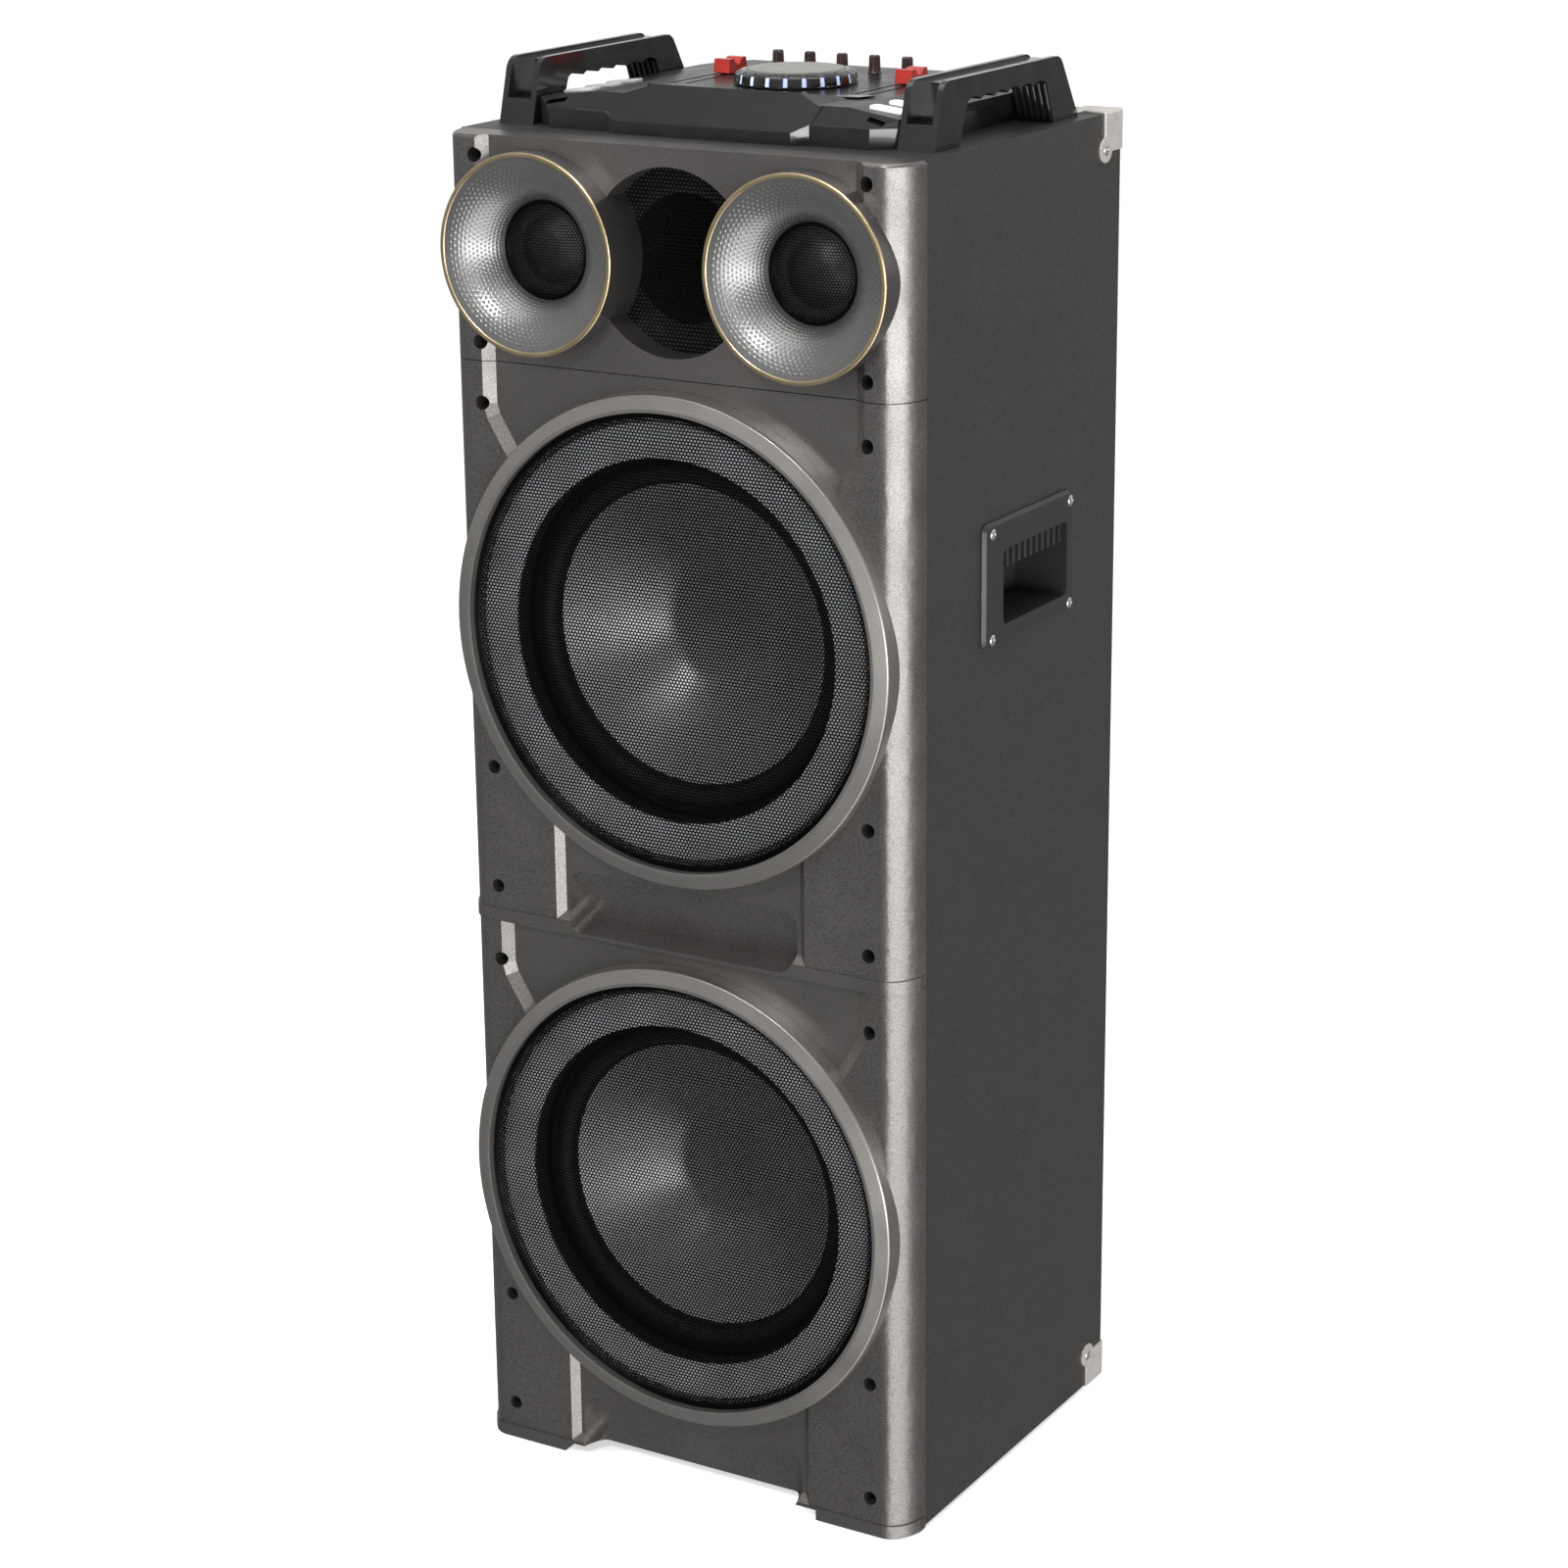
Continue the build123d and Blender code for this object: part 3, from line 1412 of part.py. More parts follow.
def rear_equipment():
    amp_middle = amp_level + amp_height / 2
    jacks = [(jack_x, amp_level + amp_height - jack_drop) for jack_x in jack_places]
    inlet_place = (inlet_x, amp_level + inlet_rise)
    switch_place = (switch_x, amp_level + inlet_rise)
    plate_depth = cabinet_depth + amp_plate
    with BuildPart() as amp_panel:
        with BuildSketch(facing(plate_depth)):
            with Locations((0, amp_middle)):
                RectangleRounded(amp_width, amp_height, amp_overlap / 2)
            with Locations(inlet_place):
                Rectangle(inlet_width, inlet_height, mode=Mode.SUBTRACT)
            with Locations(switch_place):
                Rectangle(switch_width, switch_opening, mode=Mode.SUBTRACT)
            with Locations(*jacks):
                Circle(jack_radius - jack_shoulder, mode=Mode.SUBTRACT)
            with Locations(*amp_screw_places()):
                Circle(screw_shaft_radius, mode=Mode.SUBTRACT)
        extrude(amount=amp_plate)
        # cooling fins run down the inside of the plate, clear of the sockets
        with BuildSketch(facing(cabinet_depth)):
            with Locations((fin_x, amp_middle)):
                with GridLocations(fin_pitch, fin_height, fin_count, 1):
                    Rectangle(fin_thickness, fin_height)
        extrude(amount=fin_reach)
    save(amp_panel.part, "amp_panel")

    with BuildPart() as rear_sockets:
        # mains inlet: an open shell with three blades
        with BuildSketch(facing(plate_depth)):
            with Locations(inlet_place):
                Rectangle(inlet_width - 2 * part_clearance, inlet_height - 2 * part_clearance)
        extrude(amount=inlet_reach)
        with BuildSketch(facing(plate_depth)):
            with Locations(inlet_place):
                Rectangle(inlet_width - 2 * inlet_wall, inlet_height - 2 * inlet_wall)
        extrude(amount=inlet_reach - inlet_floor, mode=Mode.SUBTRACT)
        with BuildSketch(facing(plate_depth - inlet_reach + inlet_floor)):
            with Locations(inlet_place):
                with Locations(*blade_places):
                    Rectangle(blade_width, blade_height)
        extrude(amount=-blade_length)
        # round line sockets, each a barrel on the plate with a centre hole
        with BuildSketch(facing(plate_depth + jack_length)):
            with Locations(*jacks):
                Circle(jack_radius)
                Circle(jack_pin_radius, mode=Mode.SUBTRACT)
        extrude(amount=jack_length)
        with BuildSketch(facing(plate_depth)):
            with Locations(*jacks):
                Circle(jack_radius - jack_shoulder - hole_clearance)
        extrude(amount=jack_length)
        # the rocker switch's housing, behind the plate
        with BuildSketch(facing(cabinet_depth)):
            with Locations(switch_place):
                Rectangle(switch_width + 2 * inlet_floor, switch_opening + 2 * inlet_floor)
        extrude(amount=inlet_reach)
        with BuildSketch(facing(cabinet_depth)):
            with Locations(switch_place):
                Rectangle(switch_width, switch_opening)
        extrude(amount=inlet_reach - inlet_floor, mode=Mode.SUBTRACT)
    save(rear_sockets.part, "rear_sockets")

    tilt = radians(switch_tilt)
    pivot = (switch_x, y_at(cabinet_depth - switch_pivot), z_at(amp_level + inlet_rise))
    rocker_plane = Plane(origin=pivot, x_dir=(0, sin(tilt), cos(tilt)), z_dir=(-1, 0, 0))
    half = switch_length / 2
    with BuildPart() as power_switch:
        with BuildSketch(rocker_plane):
            with BuildLine():
                Polyline(
                    (-half, switch_pivot + rocker_rise),
                    (0, switch_pivot + rocker_dip),
                    (half, switch_pivot + rocker_rise),
                    (half - rocker_taper, -rocker_root),
                    (rocker_taper - half, -rocker_root),
                    close=True,
                )
            make_face()
        extrude(amount=switch_width / 2 - part_clearance, both=True)
    save(power_switch.part, "power_switch")

    # circuit board with a ring transformer and three capacitors
    board_depth = cabinet_depth - board_standoff
    with BuildPart() as amplifier_module:
        with BuildSketch(facing(board_depth)):
            with Locations((0, amp_middle)):
                Rectangle(amp_width - 4 * amp_overlap, amp_height - 4 * amp_overlap)
        extrude(amount=circuit_board)
        with BuildSketch(facing(board_depth - circuit_board)):
            with Locations((0, amp_middle - transformer_drop)):
                Circle(transformer_radius)
                Circle(transformer_hole_radius, mode=Mode.SUBTRACT)
        extrude(amount=transformer_height)
        with BuildSketch(facing(board_depth - circuit_board)):
            with Locations((0, amp_middle + capacitor_rise)):
                with GridLocations(capacitor_pitch, capacitor_pitch, capacitor_count, 1):
                    Circle(capacitor_radius)
        extrude(amount=capacitor_height)
    save(amplifier_module.part, "amplifier_module")


cabinet_boards()
upper_fascia()
middle_bottom = lower_seam_level + seam / 2
middle_top = upper_seam_level - seam / 2
woofer_fascia("fascia_middle", middle_bottom, middle_top, woofer_levels["upper"])
woofer_fascia("fascia_lower", fascia_bottom_level, lower_seam_level - seam / 2, woofer_levels["lower"])
fascia_screws()
for woofer_place, woofer_level in woofer_levels.items():
    woofer(woofer_place, woofer_level)
horn()
port()
side_handle()
corners()
top_handle()
console()
jog()
fader()
knobs()
pads()
rear_equipment()
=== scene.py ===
from math import atan2, cos, hypot, pi, radians, sin, sqrt

import bmesh
import bpy
from mathutils import Matrix, Vector
from mathutils.bvhtree import BVHTree


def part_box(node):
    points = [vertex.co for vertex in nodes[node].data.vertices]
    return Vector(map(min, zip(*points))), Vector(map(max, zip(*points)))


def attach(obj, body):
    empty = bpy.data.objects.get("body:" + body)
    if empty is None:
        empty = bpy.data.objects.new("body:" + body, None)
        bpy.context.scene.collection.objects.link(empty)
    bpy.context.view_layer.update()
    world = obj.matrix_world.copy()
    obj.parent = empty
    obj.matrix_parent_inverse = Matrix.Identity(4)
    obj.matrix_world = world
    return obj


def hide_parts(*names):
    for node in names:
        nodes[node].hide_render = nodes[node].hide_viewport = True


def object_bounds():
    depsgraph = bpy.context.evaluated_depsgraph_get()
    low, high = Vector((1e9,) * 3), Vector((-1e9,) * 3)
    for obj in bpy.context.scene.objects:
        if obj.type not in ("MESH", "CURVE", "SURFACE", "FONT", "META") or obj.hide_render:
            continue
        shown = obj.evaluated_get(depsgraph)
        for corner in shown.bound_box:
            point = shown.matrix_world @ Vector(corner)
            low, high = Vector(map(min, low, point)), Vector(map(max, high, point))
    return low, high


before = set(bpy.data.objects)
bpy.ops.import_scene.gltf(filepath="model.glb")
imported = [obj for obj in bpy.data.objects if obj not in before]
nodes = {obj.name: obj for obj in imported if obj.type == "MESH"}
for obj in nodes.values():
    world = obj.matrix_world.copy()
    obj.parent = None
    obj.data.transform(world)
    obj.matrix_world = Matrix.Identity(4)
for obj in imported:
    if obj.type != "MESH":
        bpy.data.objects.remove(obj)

MM = 0.001
FULL_TURN = 2 * pi
cad_low, cad_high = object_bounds()

# the front edge and the top of the cabinet's side boards
panel_low, panel_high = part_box("side_panel_right")
CABINET_FRONT = panel_low.y
CABINET_TOP = panel_high.z


# -------------------------------------------------------------------------------- camera, light, floor
def direction(azimuth, elevation):
    """From the speaker to the camera or a lamp; azimuth 0 is the speaker's front and 90 its right side."""
    across, up = radians(azimuth), radians(elevation)
    return Vector((sin(across) * cos(up), -cos(across) * cos(up), sin(up)))


def make_camera():
    """Looks down on the right front corner, a little rolled, from where the photograph was taken."""
    distance, roll = 2.7028, radians(-0.594)
    target_right, target_height = 0.07346, 0.56555
    target = Vector((target_right, CABINET_FRONT, target_height))
    back = direction(azimuth=30.888, elevation=17.357)
    right = Vector((0, 0, 1)).cross(back).normalized()
    up = back.cross(right)
    tilted_right = cos(roll) * right + sin(roll) * up
    tilted_up = cos(roll) * up - sin(roll) * right
    camera = bpy.data.objects.new("camera", bpy.data.cameras.new("camera"))
    turned = Matrix((tilted_right, tilted_up, back)).transposed().to_4x4()
    camera.matrix_world = Matrix.Translation(target + back * distance) @ turned
    camera.data.lens = 86.42
    camera.data.sensor_width = 36
    bpy.context.scene.collection.objects.link(camera)
    bpy.context.scene.camera = camera


def softbox(name, azimuth, elevation, distance, width, height, power, mirrored=True):
    """A rectangular lamp that faces the middle of the speaker, and shows in its reflections if mirrored."""
    aim = Vector((0, 0, 0.55))
    lamp = bpy.data.lights.new(name, "AREA")
    lamp.shape = "RECTANGLE"
    lamp.size = width
    lamp.size_y = height
    lamp.energy = power
    item = bpy.data.objects.new(name, lamp)
    item.visible_glossy = mirrored
    back = direction(azimuth, elevation)
    turned = back.to_track_quat("Z", "Y").to_matrix().to_4x4()
    item.matrix_world = Matrix.Translation(aim + back * distance) @ turned
    bpy.context.scene.collection.objects.link(item)


def make_lights():
    """A large lamp on the left, a larger one overhead and a small one in front."""
    softbox("softbox_left", -55, 20, distance=3.2, width=1.0, height=1.6, power=80, mirrored=False)
    softbox("softbox_top", 10, 80, distance=2.6, width=2.4, height=2.4, power=32)
    softbox("spot_front", 5, 40, distance=3.0, width=0.25, height=0.25, power=30)


# how bright the studio is below the horizon, by the bearing in degrees from the front towards the right
BRIGHTEST = 11.0
AROUND = [
    (-180, 0.10),
    (-110, 0.28),
    (-30, 0.26),
    (-18, 0.50),
    (8, 0.50),
    (13, 0.40),
    (16, 0.90),
    (21, BRIGHTEST),
    (88, BRIGHTEST),
    (100, 0.35),
    (118, 0.12),
    (180, 0.10),
]
DARKEST = 0.20
# the panels round the speaker lose light down to this share, between these two slopes below the horizon
FADED_SHARE = 0.20
FADE_START, FADE_END = -0.12, -0.28
# above the horizon: how bright the studio is in front of the speaker and behind it, and from where on
WALL_FRONT, WALL_BACK = 0.45, 0.80
FRONT_REACH, BACK_REACH = -0.2, 0.8
HORIZON_FOOT, HORIZON_TOP = -0.06, 0.02


def studio_grey(brightness):
    """A grey that is this bright once the world's strength has multiplied it."""
    share = brightness / BRIGHTEST
    return (share, share, share, 1)


def bearing_of(tree, parts):
    """The bearing of a direction in turns: 0 behind, 0.25 on the left, 0.5 in front, 0.75 on the right."""
    forward = tree.nodes.new("ShaderNodeMath")
    forward.operation = "MULTIPLY"
    forward.inputs[1].default_value = -1
    bearing = tree.nodes.new("ShaderNodeMath")
    bearing.operation = "ARCTAN2"
    tree.links.new(parts.outputs["Y"], forward.inputs[0])
    tree.links.new(parts.outputs["X"], bearing.inputs[0])
    tree.links.new(forward.outputs[0], bearing.inputs[1])
    return spread(tree, bearing.outputs[0], 0, 1, -pi, pi)


def make_world():
    """A studio with a bright back wall and lit panels round the speaker; the camera sees only white."""
    world = bpy.data.worlds.new("studio")
    world.use_nodes = True
    tree = world.node_tree
    backdrop = tree.nodes["Background"]
    backdrop.inputs["Strength"].default_value = BRIGHTEST
    parts = tree.nodes.new("ShaderNodeSeparateXYZ")
    tree.links.new(tree.nodes.new("ShaderNodeTexCoord").outputs["Generated"], parts.inputs["Vector"])
    panels = tree.nodes.new("ShaderNodeValToRGB")
    stops = panels.color_ramp.elements
    while len(stops) < len(AROUND):
        stops.new(0.5)
    for stop, (degrees, brightness) in zip(stops, AROUND):
        stop.position = (degrees + 180) / 360
        stop.color = studio_grey(brightness)
    tree.links.new(bearing_of(tree, parts), panels.inputs["Fac"])
    fade = spread(tree, parts.outputs["Z"], FADED_SHARE, 1.0, FADE_END, FADE_START)
    faded = mix_colours(tree, 1.0, panels.outputs["Color"], fade, "MULTIPLY")
    below = mix_colours(tree, 1.0, faded, studio_grey(DARKEST), "LIGHTEN")
    wall_ends = WALL_FRONT / BRIGHTEST, WALL_BACK / BRIGHTEST
    wall = spread(tree, parts.outputs["Y"], *wall_ends, FRONT_REACH, BACK_REACH)
    above = spread(tree, parts.outputs["Z"], 0, 1, HORIZON_FOOT, HORIZON_TOP)
    studio = mix_colours(tree, above, below, wall)
    seen = tree.nodes.new("ShaderNodeLightPath").outputs["Is Camera Ray"]
    tree.links.new(mix_colours(tree, seen, studio, studio_grey(1.0)), backdrop.inputs["Color"])
    bpy.context.scene.world = world


def make_floor():
    """White paper that shows to the camera and takes shadows, and leaves the reflections to the studio."""
    half_size = 30
    bm = bmesh.new()
    bmesh.ops.create_grid(bm, x_segments=2, y_segments=2, size=half_size)
    floor = mesh_object("floor", bm)
    material, shader, tree = new_material("floor_paper", (0.86, 0.86, 0.86), 0.9)
    shader.inputs["Specular IOR Level"].default_value = 0.1
    shader.inputs["Emission Color"].default_value = (1, 1, 1, 1)
    shader.inputs["Emission Strength"].default_value = 0.55
    floor.data.materials.append(material)
    floor.visible_glossy = False
    floor.visible_diffuse = False
    floor.visible_shadow = False


# -------------------------------------------------------------------------------- materials
def new_material(name, colour, roughness, metallic=0.0):
    material = bpy.data.materials.new(name)
    material.use_nodes = True
    shader = material.node_tree.nodes["Principled BSDF"]
    shader.inputs["Base Color"].default_value = (*colour, 1)
    shader.inputs["Roughness"].default_value = roughness
    shader.inputs["Metallic"].default_value = metallic
    return material, shader, material.node_tree


def noise(tree, size, detail=2.0, stretch=None):
    """Noise whose features are about this size in metres; returns its socket."""
    place = tree.nodes.new("ShaderNodeTexCoord").outputs["Object"]
    if stretch:
        squeeze = tree.nodes.new("ShaderNodeMapping")
        squeeze.inputs["Scale"].default_value = stretch
        tree.links.new(place, squeeze.inputs["Vector"])
        place = squeeze.outputs["Vector"]
    node = tree.nodes.new("ShaderNodeTexNoise")
    node.inputs["Scale"].default_value = 1 / size
    node.inputs["Detail"].default_value = detail
    tree.links.new(place, node.inputs["Vector"])
    return node.outputs["Fac"]


def cells(tree, size):
    """Distance to the nearest cell centre, for leather grain and cast surfaces."""
    node = tree.nodes.new("ShaderNodeTexVoronoi")
    node.inputs["Scale"].default_value = 1 / size
    tree.links.new(tree.nodes.new("ShaderNodeTexCoord").outputs["Object"], node.inputs["Vector"])
    return node.outputs["Distance"]


# a wave texture of scale 1 has about this many rings in a metre
RINGS_AT_SCALE_ONE = 3.2


def rings(tree, centre, axis, pitch):
    """Concentric turning marks about an axis through a centre."""
    move = tree.nodes.new("ShaderNodeMapping")
    move.inputs["Location"].default_value = -Vector(centre)
    wave = tree.nodes.new("ShaderNodeTexWave")
    wave.wave_type = "RINGS"
    wave.rings_direction = axis
    wave.inputs["Scale"].default_value = 1 / pitch / RINGS_AT_SCALE_ONE
    wave.inputs["Distortion"].default_value = 0.0
    tree.links.new(tree.nodes.new("ShaderNodeTexCoord").outputs["Object"], move.inputs["Vector"])
    tree.links.new(move.outputs["Vector"], wave.inputs["Vector"])
    return wave.outputs["Fac"]


def spread(tree, factor, low, high, start=0.3, end=0.7):
    """Maps a texture's middle range to values from low to high."""
    node = tree.nodes.new("ShaderNodeMapRange")
    node.inputs["From Min"].default_value = start
    node.inputs["From Max"].default_value = end
    node.inputs["To Min"].default_value = low
    node.inputs["To Max"].default_value = high
    tree.links.new(factor, node.inputs["Value"])
    return node.outputs["Result"]


def mix_colours(tree, factor, first, second, mode="MIX"):
    """Mixes two colours by a factor; each of the three is a value or the output of another node."""
    node = tree.nodes.new("ShaderNodeMix")
    node.data_type = "RGBA"
    node.blend_type = mode
    for socket, source in ((node.inputs[0], factor), (node.inputs[6], first), (node.inputs[7], second)):
        if isinstance(source, bpy.types.NodeSocket):
            tree.links.new(source, socket)
        else:
            socket.default_value = source
    return node.outputs[2]


def shade(colour, factor):
    return tuple(min(1.0, channel * factor) for channel in colour)


def vary_colour(tree, shader, factor, colour, dark, light):
    """Varies the base colour between these two shares of a colour."""
    mixed = mix_colours(tree, factor, (*shade(colour, dark), 1), (*shade(colour, light), 1))
    tree.links.new(mixed, shader.inputs["Base Color"])


def mottle(tree, shader, texture, colour, dark, light):
    """Varies the base colour as vary_colour does, with the middle range of a texture."""
    vary_colour(tree, shader, spread(tree, texture, 0, 1), colour, dark, light)


def vary_roughness(tree, shader, texture, low, high):
    tree.links.new(spread(tree, texture, low, high), shader.inputs["Roughness"])


def add_bump(tree, shader, height, depth):
    """Raises the surface by up to this depth in metres, on top of any bump that is there already."""
    bump = tree.nodes.new("ShaderNodeBump")
    bump.inputs["Distance"].default_value = depth
    bump.inputs["Strength"].default_value = 1.0
    tree.links.new(height, bump.inputs["Height"])
    if shader.inputs["Normal"].is_linked:
        tree.links.new(shader.inputs["Normal"].links[0].from_socket, bump.inputs["Normal"])
    tree.links.new(bump.outputs["Normal"], shader.inputs["Normal"])


def metallic_paint(name, colour, roughness, contrast=0.38):
    """Sprayed metallic paint: fine flakes, a slow cloudiness and a faint orange peel."""
    material, shader, tree = new_material(name, colour, roughness, metallic=0.9)
    mottle(tree, shader, noise(tree, 0.8 * MM, detail=1.0), colour, 1 - contrast, 1 + contrast)
    vary_roughness(tree, shader, noise(tree, 45 * MM, detail=3.0), roughness - 0.05, roughness + 0.05)
    add_bump(tree, shader, noise(tree, 0.9 * MM), 0.02 * MM)
    add_bump(tree, shader, noise(tree, 6 * MM), 0.02 * MM)
    return material


def moulded_plastic(name, colour, roughness, grain=0.45 * MM, depth=0.02 * MM, level=0.5):
    """Injection moulded plastic with a spark-eroded grain and slight variation in sheen."""
    material, shader, tree = new_material(name, colour, roughness)
    shader.inputs["Specular IOR Level"].default_value = level
    patches = noise(tree, 30 * MM, detail=3.0)
    mottle(tree, shader, patches, colour, 0.85, 1.15)
    vary_roughness(tree, shader, patches, roughness + 0.05, roughness - 0.05)
    add_bump(tree, shader, cells(tree, grain), depth)
    return material


def gloss_plastic(name, colour, roughness=0.09):
    """Polished moulded plastic with handling haze and hairline scratches."""
    material, shader, tree = new_material(name, colour, roughness)
    shader.inputs["Coat Weight"].default_value = 0.3
    shader.inputs["Coat Roughness"].default_value = 0.05
    haze = noise(tree, 22 * MM, detail=5.0)
    vary_roughness(tree, shader, haze, roughness, roughness + 0.14)
    mottle(tree, shader, haze, colour, 0.8, 1.3)
    add_bump(tree, shader, noise(tree, 16 * MM, detail=1.0), 0.15 * MM)
    scratches = noise(tree, 0.6 * MM, detail=1.0, stretch=(1.0, 0.04, 1.0))
    add_bump(tree, shader, scratches, 0.003 * MM)
    return material


def leather_vinyl():
    """Black vinyl with a fine pebbled grain, stretched over the boards; its colour carries painted
    highlights on the pebbles and painted shade in the grooves.
    """
    colour = (0.027, 0.0255, 0.0245)
    material, shader, tree = new_material("cabinet_vinyl", colour, 0.5)
    shader.inputs["Specular IOR Level"].default_value = 0.45
    grain = cells(tree, 1.3 * MM)
    # painted light and shade: each pebble's middle is lighter and the grooves between the pebbles are darker
    vary_colour(tree, shader, spread(tree, grain, 0, 1, start=0.1, end=0.7), colour, 1.4, 0.7)
    vary_roughness(tree, shader, noise(tree, 60 * MM, detail=4.0), 0.44, 0.54)
    add_bump(tree, shader, noise(tree, 0.6 * MM, detail=2.0), 0.05 * MM)
    add_bump(tree, shader, grain, -0.10 * MM)
    return material


def plated_metal(name, colour, roughness, metallic=1.0):
    """Plated steel with a slight waviness and tarnish."""
    material, shader, tree = new_material(name, colour, roughness, metallic)
    tarnish = noise(tree, 7 * MM, detail=5.0)
    mottle(tree, shader, tarnish, colour, 0.82, 1.08)
    vary_roughness(tree, shader, tarnish, roughness + 0.08, roughness - 0.04)
    add_bump(tree, shader, noise(tree, 2.5 * MM), 0.02 * MM)
    return material


def spun_metal(name, colour, roughness, centre, axis, pitch):
    """A turned surface with concentric tool marks."""
    material, shader, tree = new_material(name, colour, roughness, metallic=0.8)
    marks = rings(tree, centre, axis, pitch)
    vary_colour(tree, shader, marks, colour, 0.85, 1.12)
    vary_roughness(tree, shader, noise(tree, 12 * MM, detail=4.0), roughness - 0.04, roughness + 0.06)
    add_bump(tree, shader, marks, 0.02 * MM)
    return material


def speaker_cone():
    """Metallised paper pulp, fibrous under its thin silver coat."""
    colour = (0.66, 0.66, 0.665)
    material, shader, tree = new_material("cone_paper", colour, 0.36, metallic=0.8)
    fibres = noise(tree, 1.6 * MM, detail=6.0)
    mottle(tree, shader, fibres, colour, 0.82, 1.1)
    add_bump(tree, shader, fibres, 0.04 * MM)
    return material


def satin_gold():
    """Satin anodised metal, slightly uneven."""
    colour = (0.62, 0.50, 0.31)
    material, shader, tree = new_material("gold_trim", colour, 0.32, metallic=1.0)
    patches = noise(tree, 14 * MM, detail=2.0)
    mottle(tree, shader, patches, colour, 0.95, 1.05)
    vary_roughness(tree, shader, patches, 0.28, 0.36)
    add_bump(tree, shader, noise(tree, 0.4 * MM), 0.004 * MM)
    return material


def soft_rubber():
    """Matt black rubber with a little dust on it."""
    colour, roughness = (0.007, 0.007, 0.007), 0.62
    material, shader, tree = new_material("black_rubber", colour, roughness)
    dust = noise(tree, 5 * MM, detail=6.0)
    mottle(tree, shader, dust, colour, 0.8, 1.5)
    vary_roughness(tree, shader, dust, roughness - 0.08, roughness + 0.1)
    add_bump(tree, shader, noise(tree, 0.7 * MM), 0.02 * MM)
    return material


def silicone(name, colour, painted_glow):
    """Translucent silicone whose emission is a painted glow that brightens it."""
    material, shader, tree = new_material(name, colour, 0.42)
    shader.inputs["Subsurface Weight"].default_value = 0.35
    shader.inputs["Subsurface Radius"].default_value = (0.004, 0.004, 0.004)
    shader.inputs["Subsurface Scale"].default_value = 0.5
    # painted glow: emission in the silicone's own colour
    shader.inputs["Emission Color"].default_value = (*colour, 1)
    shader.inputs["Emission Strength"].default_value = painted_glow
    smears = noise(tree, 6 * MM, detail=4.0)
    mottle(tree, shader, smears, colour, 0.93, 1.04)
    vary_roughness(tree, shader, smears, 0.36, 0.52)
    add_bump(tree, shader, noise(tree, 0.5 * MM), 0.015 * MM)
    return material


def lit_window():
    """Frosted pale blue light guide."""
    colour = (0.55, 0.62, 0.95)
    material, shader, tree = new_material("light_guide", colour, 0.3)
    shader.inputs["Emission Color"].default_value = (*colour, 1)
    shader.inputs["Emission Strength"].default_value = 0.35
    frost = noise(tree, 1.2 * MM, detail=3.0)
    mottle(tree, shader, frost, colour, 0.85, 1.1)
    add_bump(tree, shader, frost, 0.02 * MM)
    return material


def make_materials():
    """Every material by its name."""
    return {
        "cabinet_vinyl": leather_vinyl(),
        "silver_fascia": metallic_paint("silver_fascia", (0.185, 0.175, 0.168), 0.36),
        "silver_ring": metallic_paint("silver_ring", (0.33, 0.315, 0.30), 0.33, contrast=0.12),
        "horn_silver": metallic_paint("horn_silver", (0.235, 0.233, 0.23), 0.34, contrast=0.12),
        # a darker copy of horn_silver: painted shade for the horn barrels, which sit round and behind the
        # flares
        "horn_silver_painted_shade": metallic_paint("horn_silver_painted_shade", (0.15, 0.145, 0.14), 0.38),
        "dark_steel": plated_metal("dark_steel", (0.035, 0.035, 0.035), 0.45),
        "black_mesh": plated_metal("black_mesh", (0.010, 0.010, 0.011), 0.38),
        "grey_trim": moulded_plastic("grey_trim", (0.46, 0.475, 0.50), 0.42),
        "magnet_iron": plated_metal("magnet_iron", (0.13, 0.13, 0.13), 0.55),
        "black_rubber": soft_rubber(),
        "cone_paper": speaker_cone(),
        "gold_trim": satin_gold(),
        "black_plastic": moulded_plastic("black_plastic", (0.020, 0.0195, 0.019), 0.40),
        "gloss_black": gloss_plastic("gloss_black", (0.010, 0.010, 0.010)),
        "nickel": plated_metal("nickel", (0.62, 0.585, 0.55), 0.28, metallic=0.5),
        "bright_steel": plated_metal("bright_steel", (0.62, 0.62, 0.61), 0.26),
        "deck_satin": moulded_plastic(
            "deck_satin", (0.011, 0.0105, 0.010), 0.28, depth=0.015 * MM, level=0.17
        ),
        "disc_grey": spun_metal("disc_grey", (0.34, 0.33, 0.31), 0.34, middle("jog_disc"), "Z", 0.8 * MM),
        "red_plastic": gloss_plastic("red_plastic", (0.38, 0.018, 0.012), 0.28),
        # the pads' emission is a painted glow, stronger on the white pads
        "pad_white": silicone("pad_white", (0.85, 0.85, 0.86), 0.35),
        "pad_grey": silicone("pad_grey", (0.50, 0.50, 0.51), 0.05),
        "knob_black": gloss_plastic("knob_black", (0.030, 0.010, 0.010), 0.25),
        "panel_metal": moulded_plastic(
            "panel_metal", (0.030, 0.030, 0.032), 0.5, grain=0.7 * MM, depth=0.05 * MM
        ),
        "board_green": moulded_plastic("board_green", (0.03, 0.12, 0.06), 0.4),
        "light_guide": lit_window(),
        "smoked_lens": gloss_plastic("smoked_lens", (0.006, 0.006, 0.008), 0.06),
    }


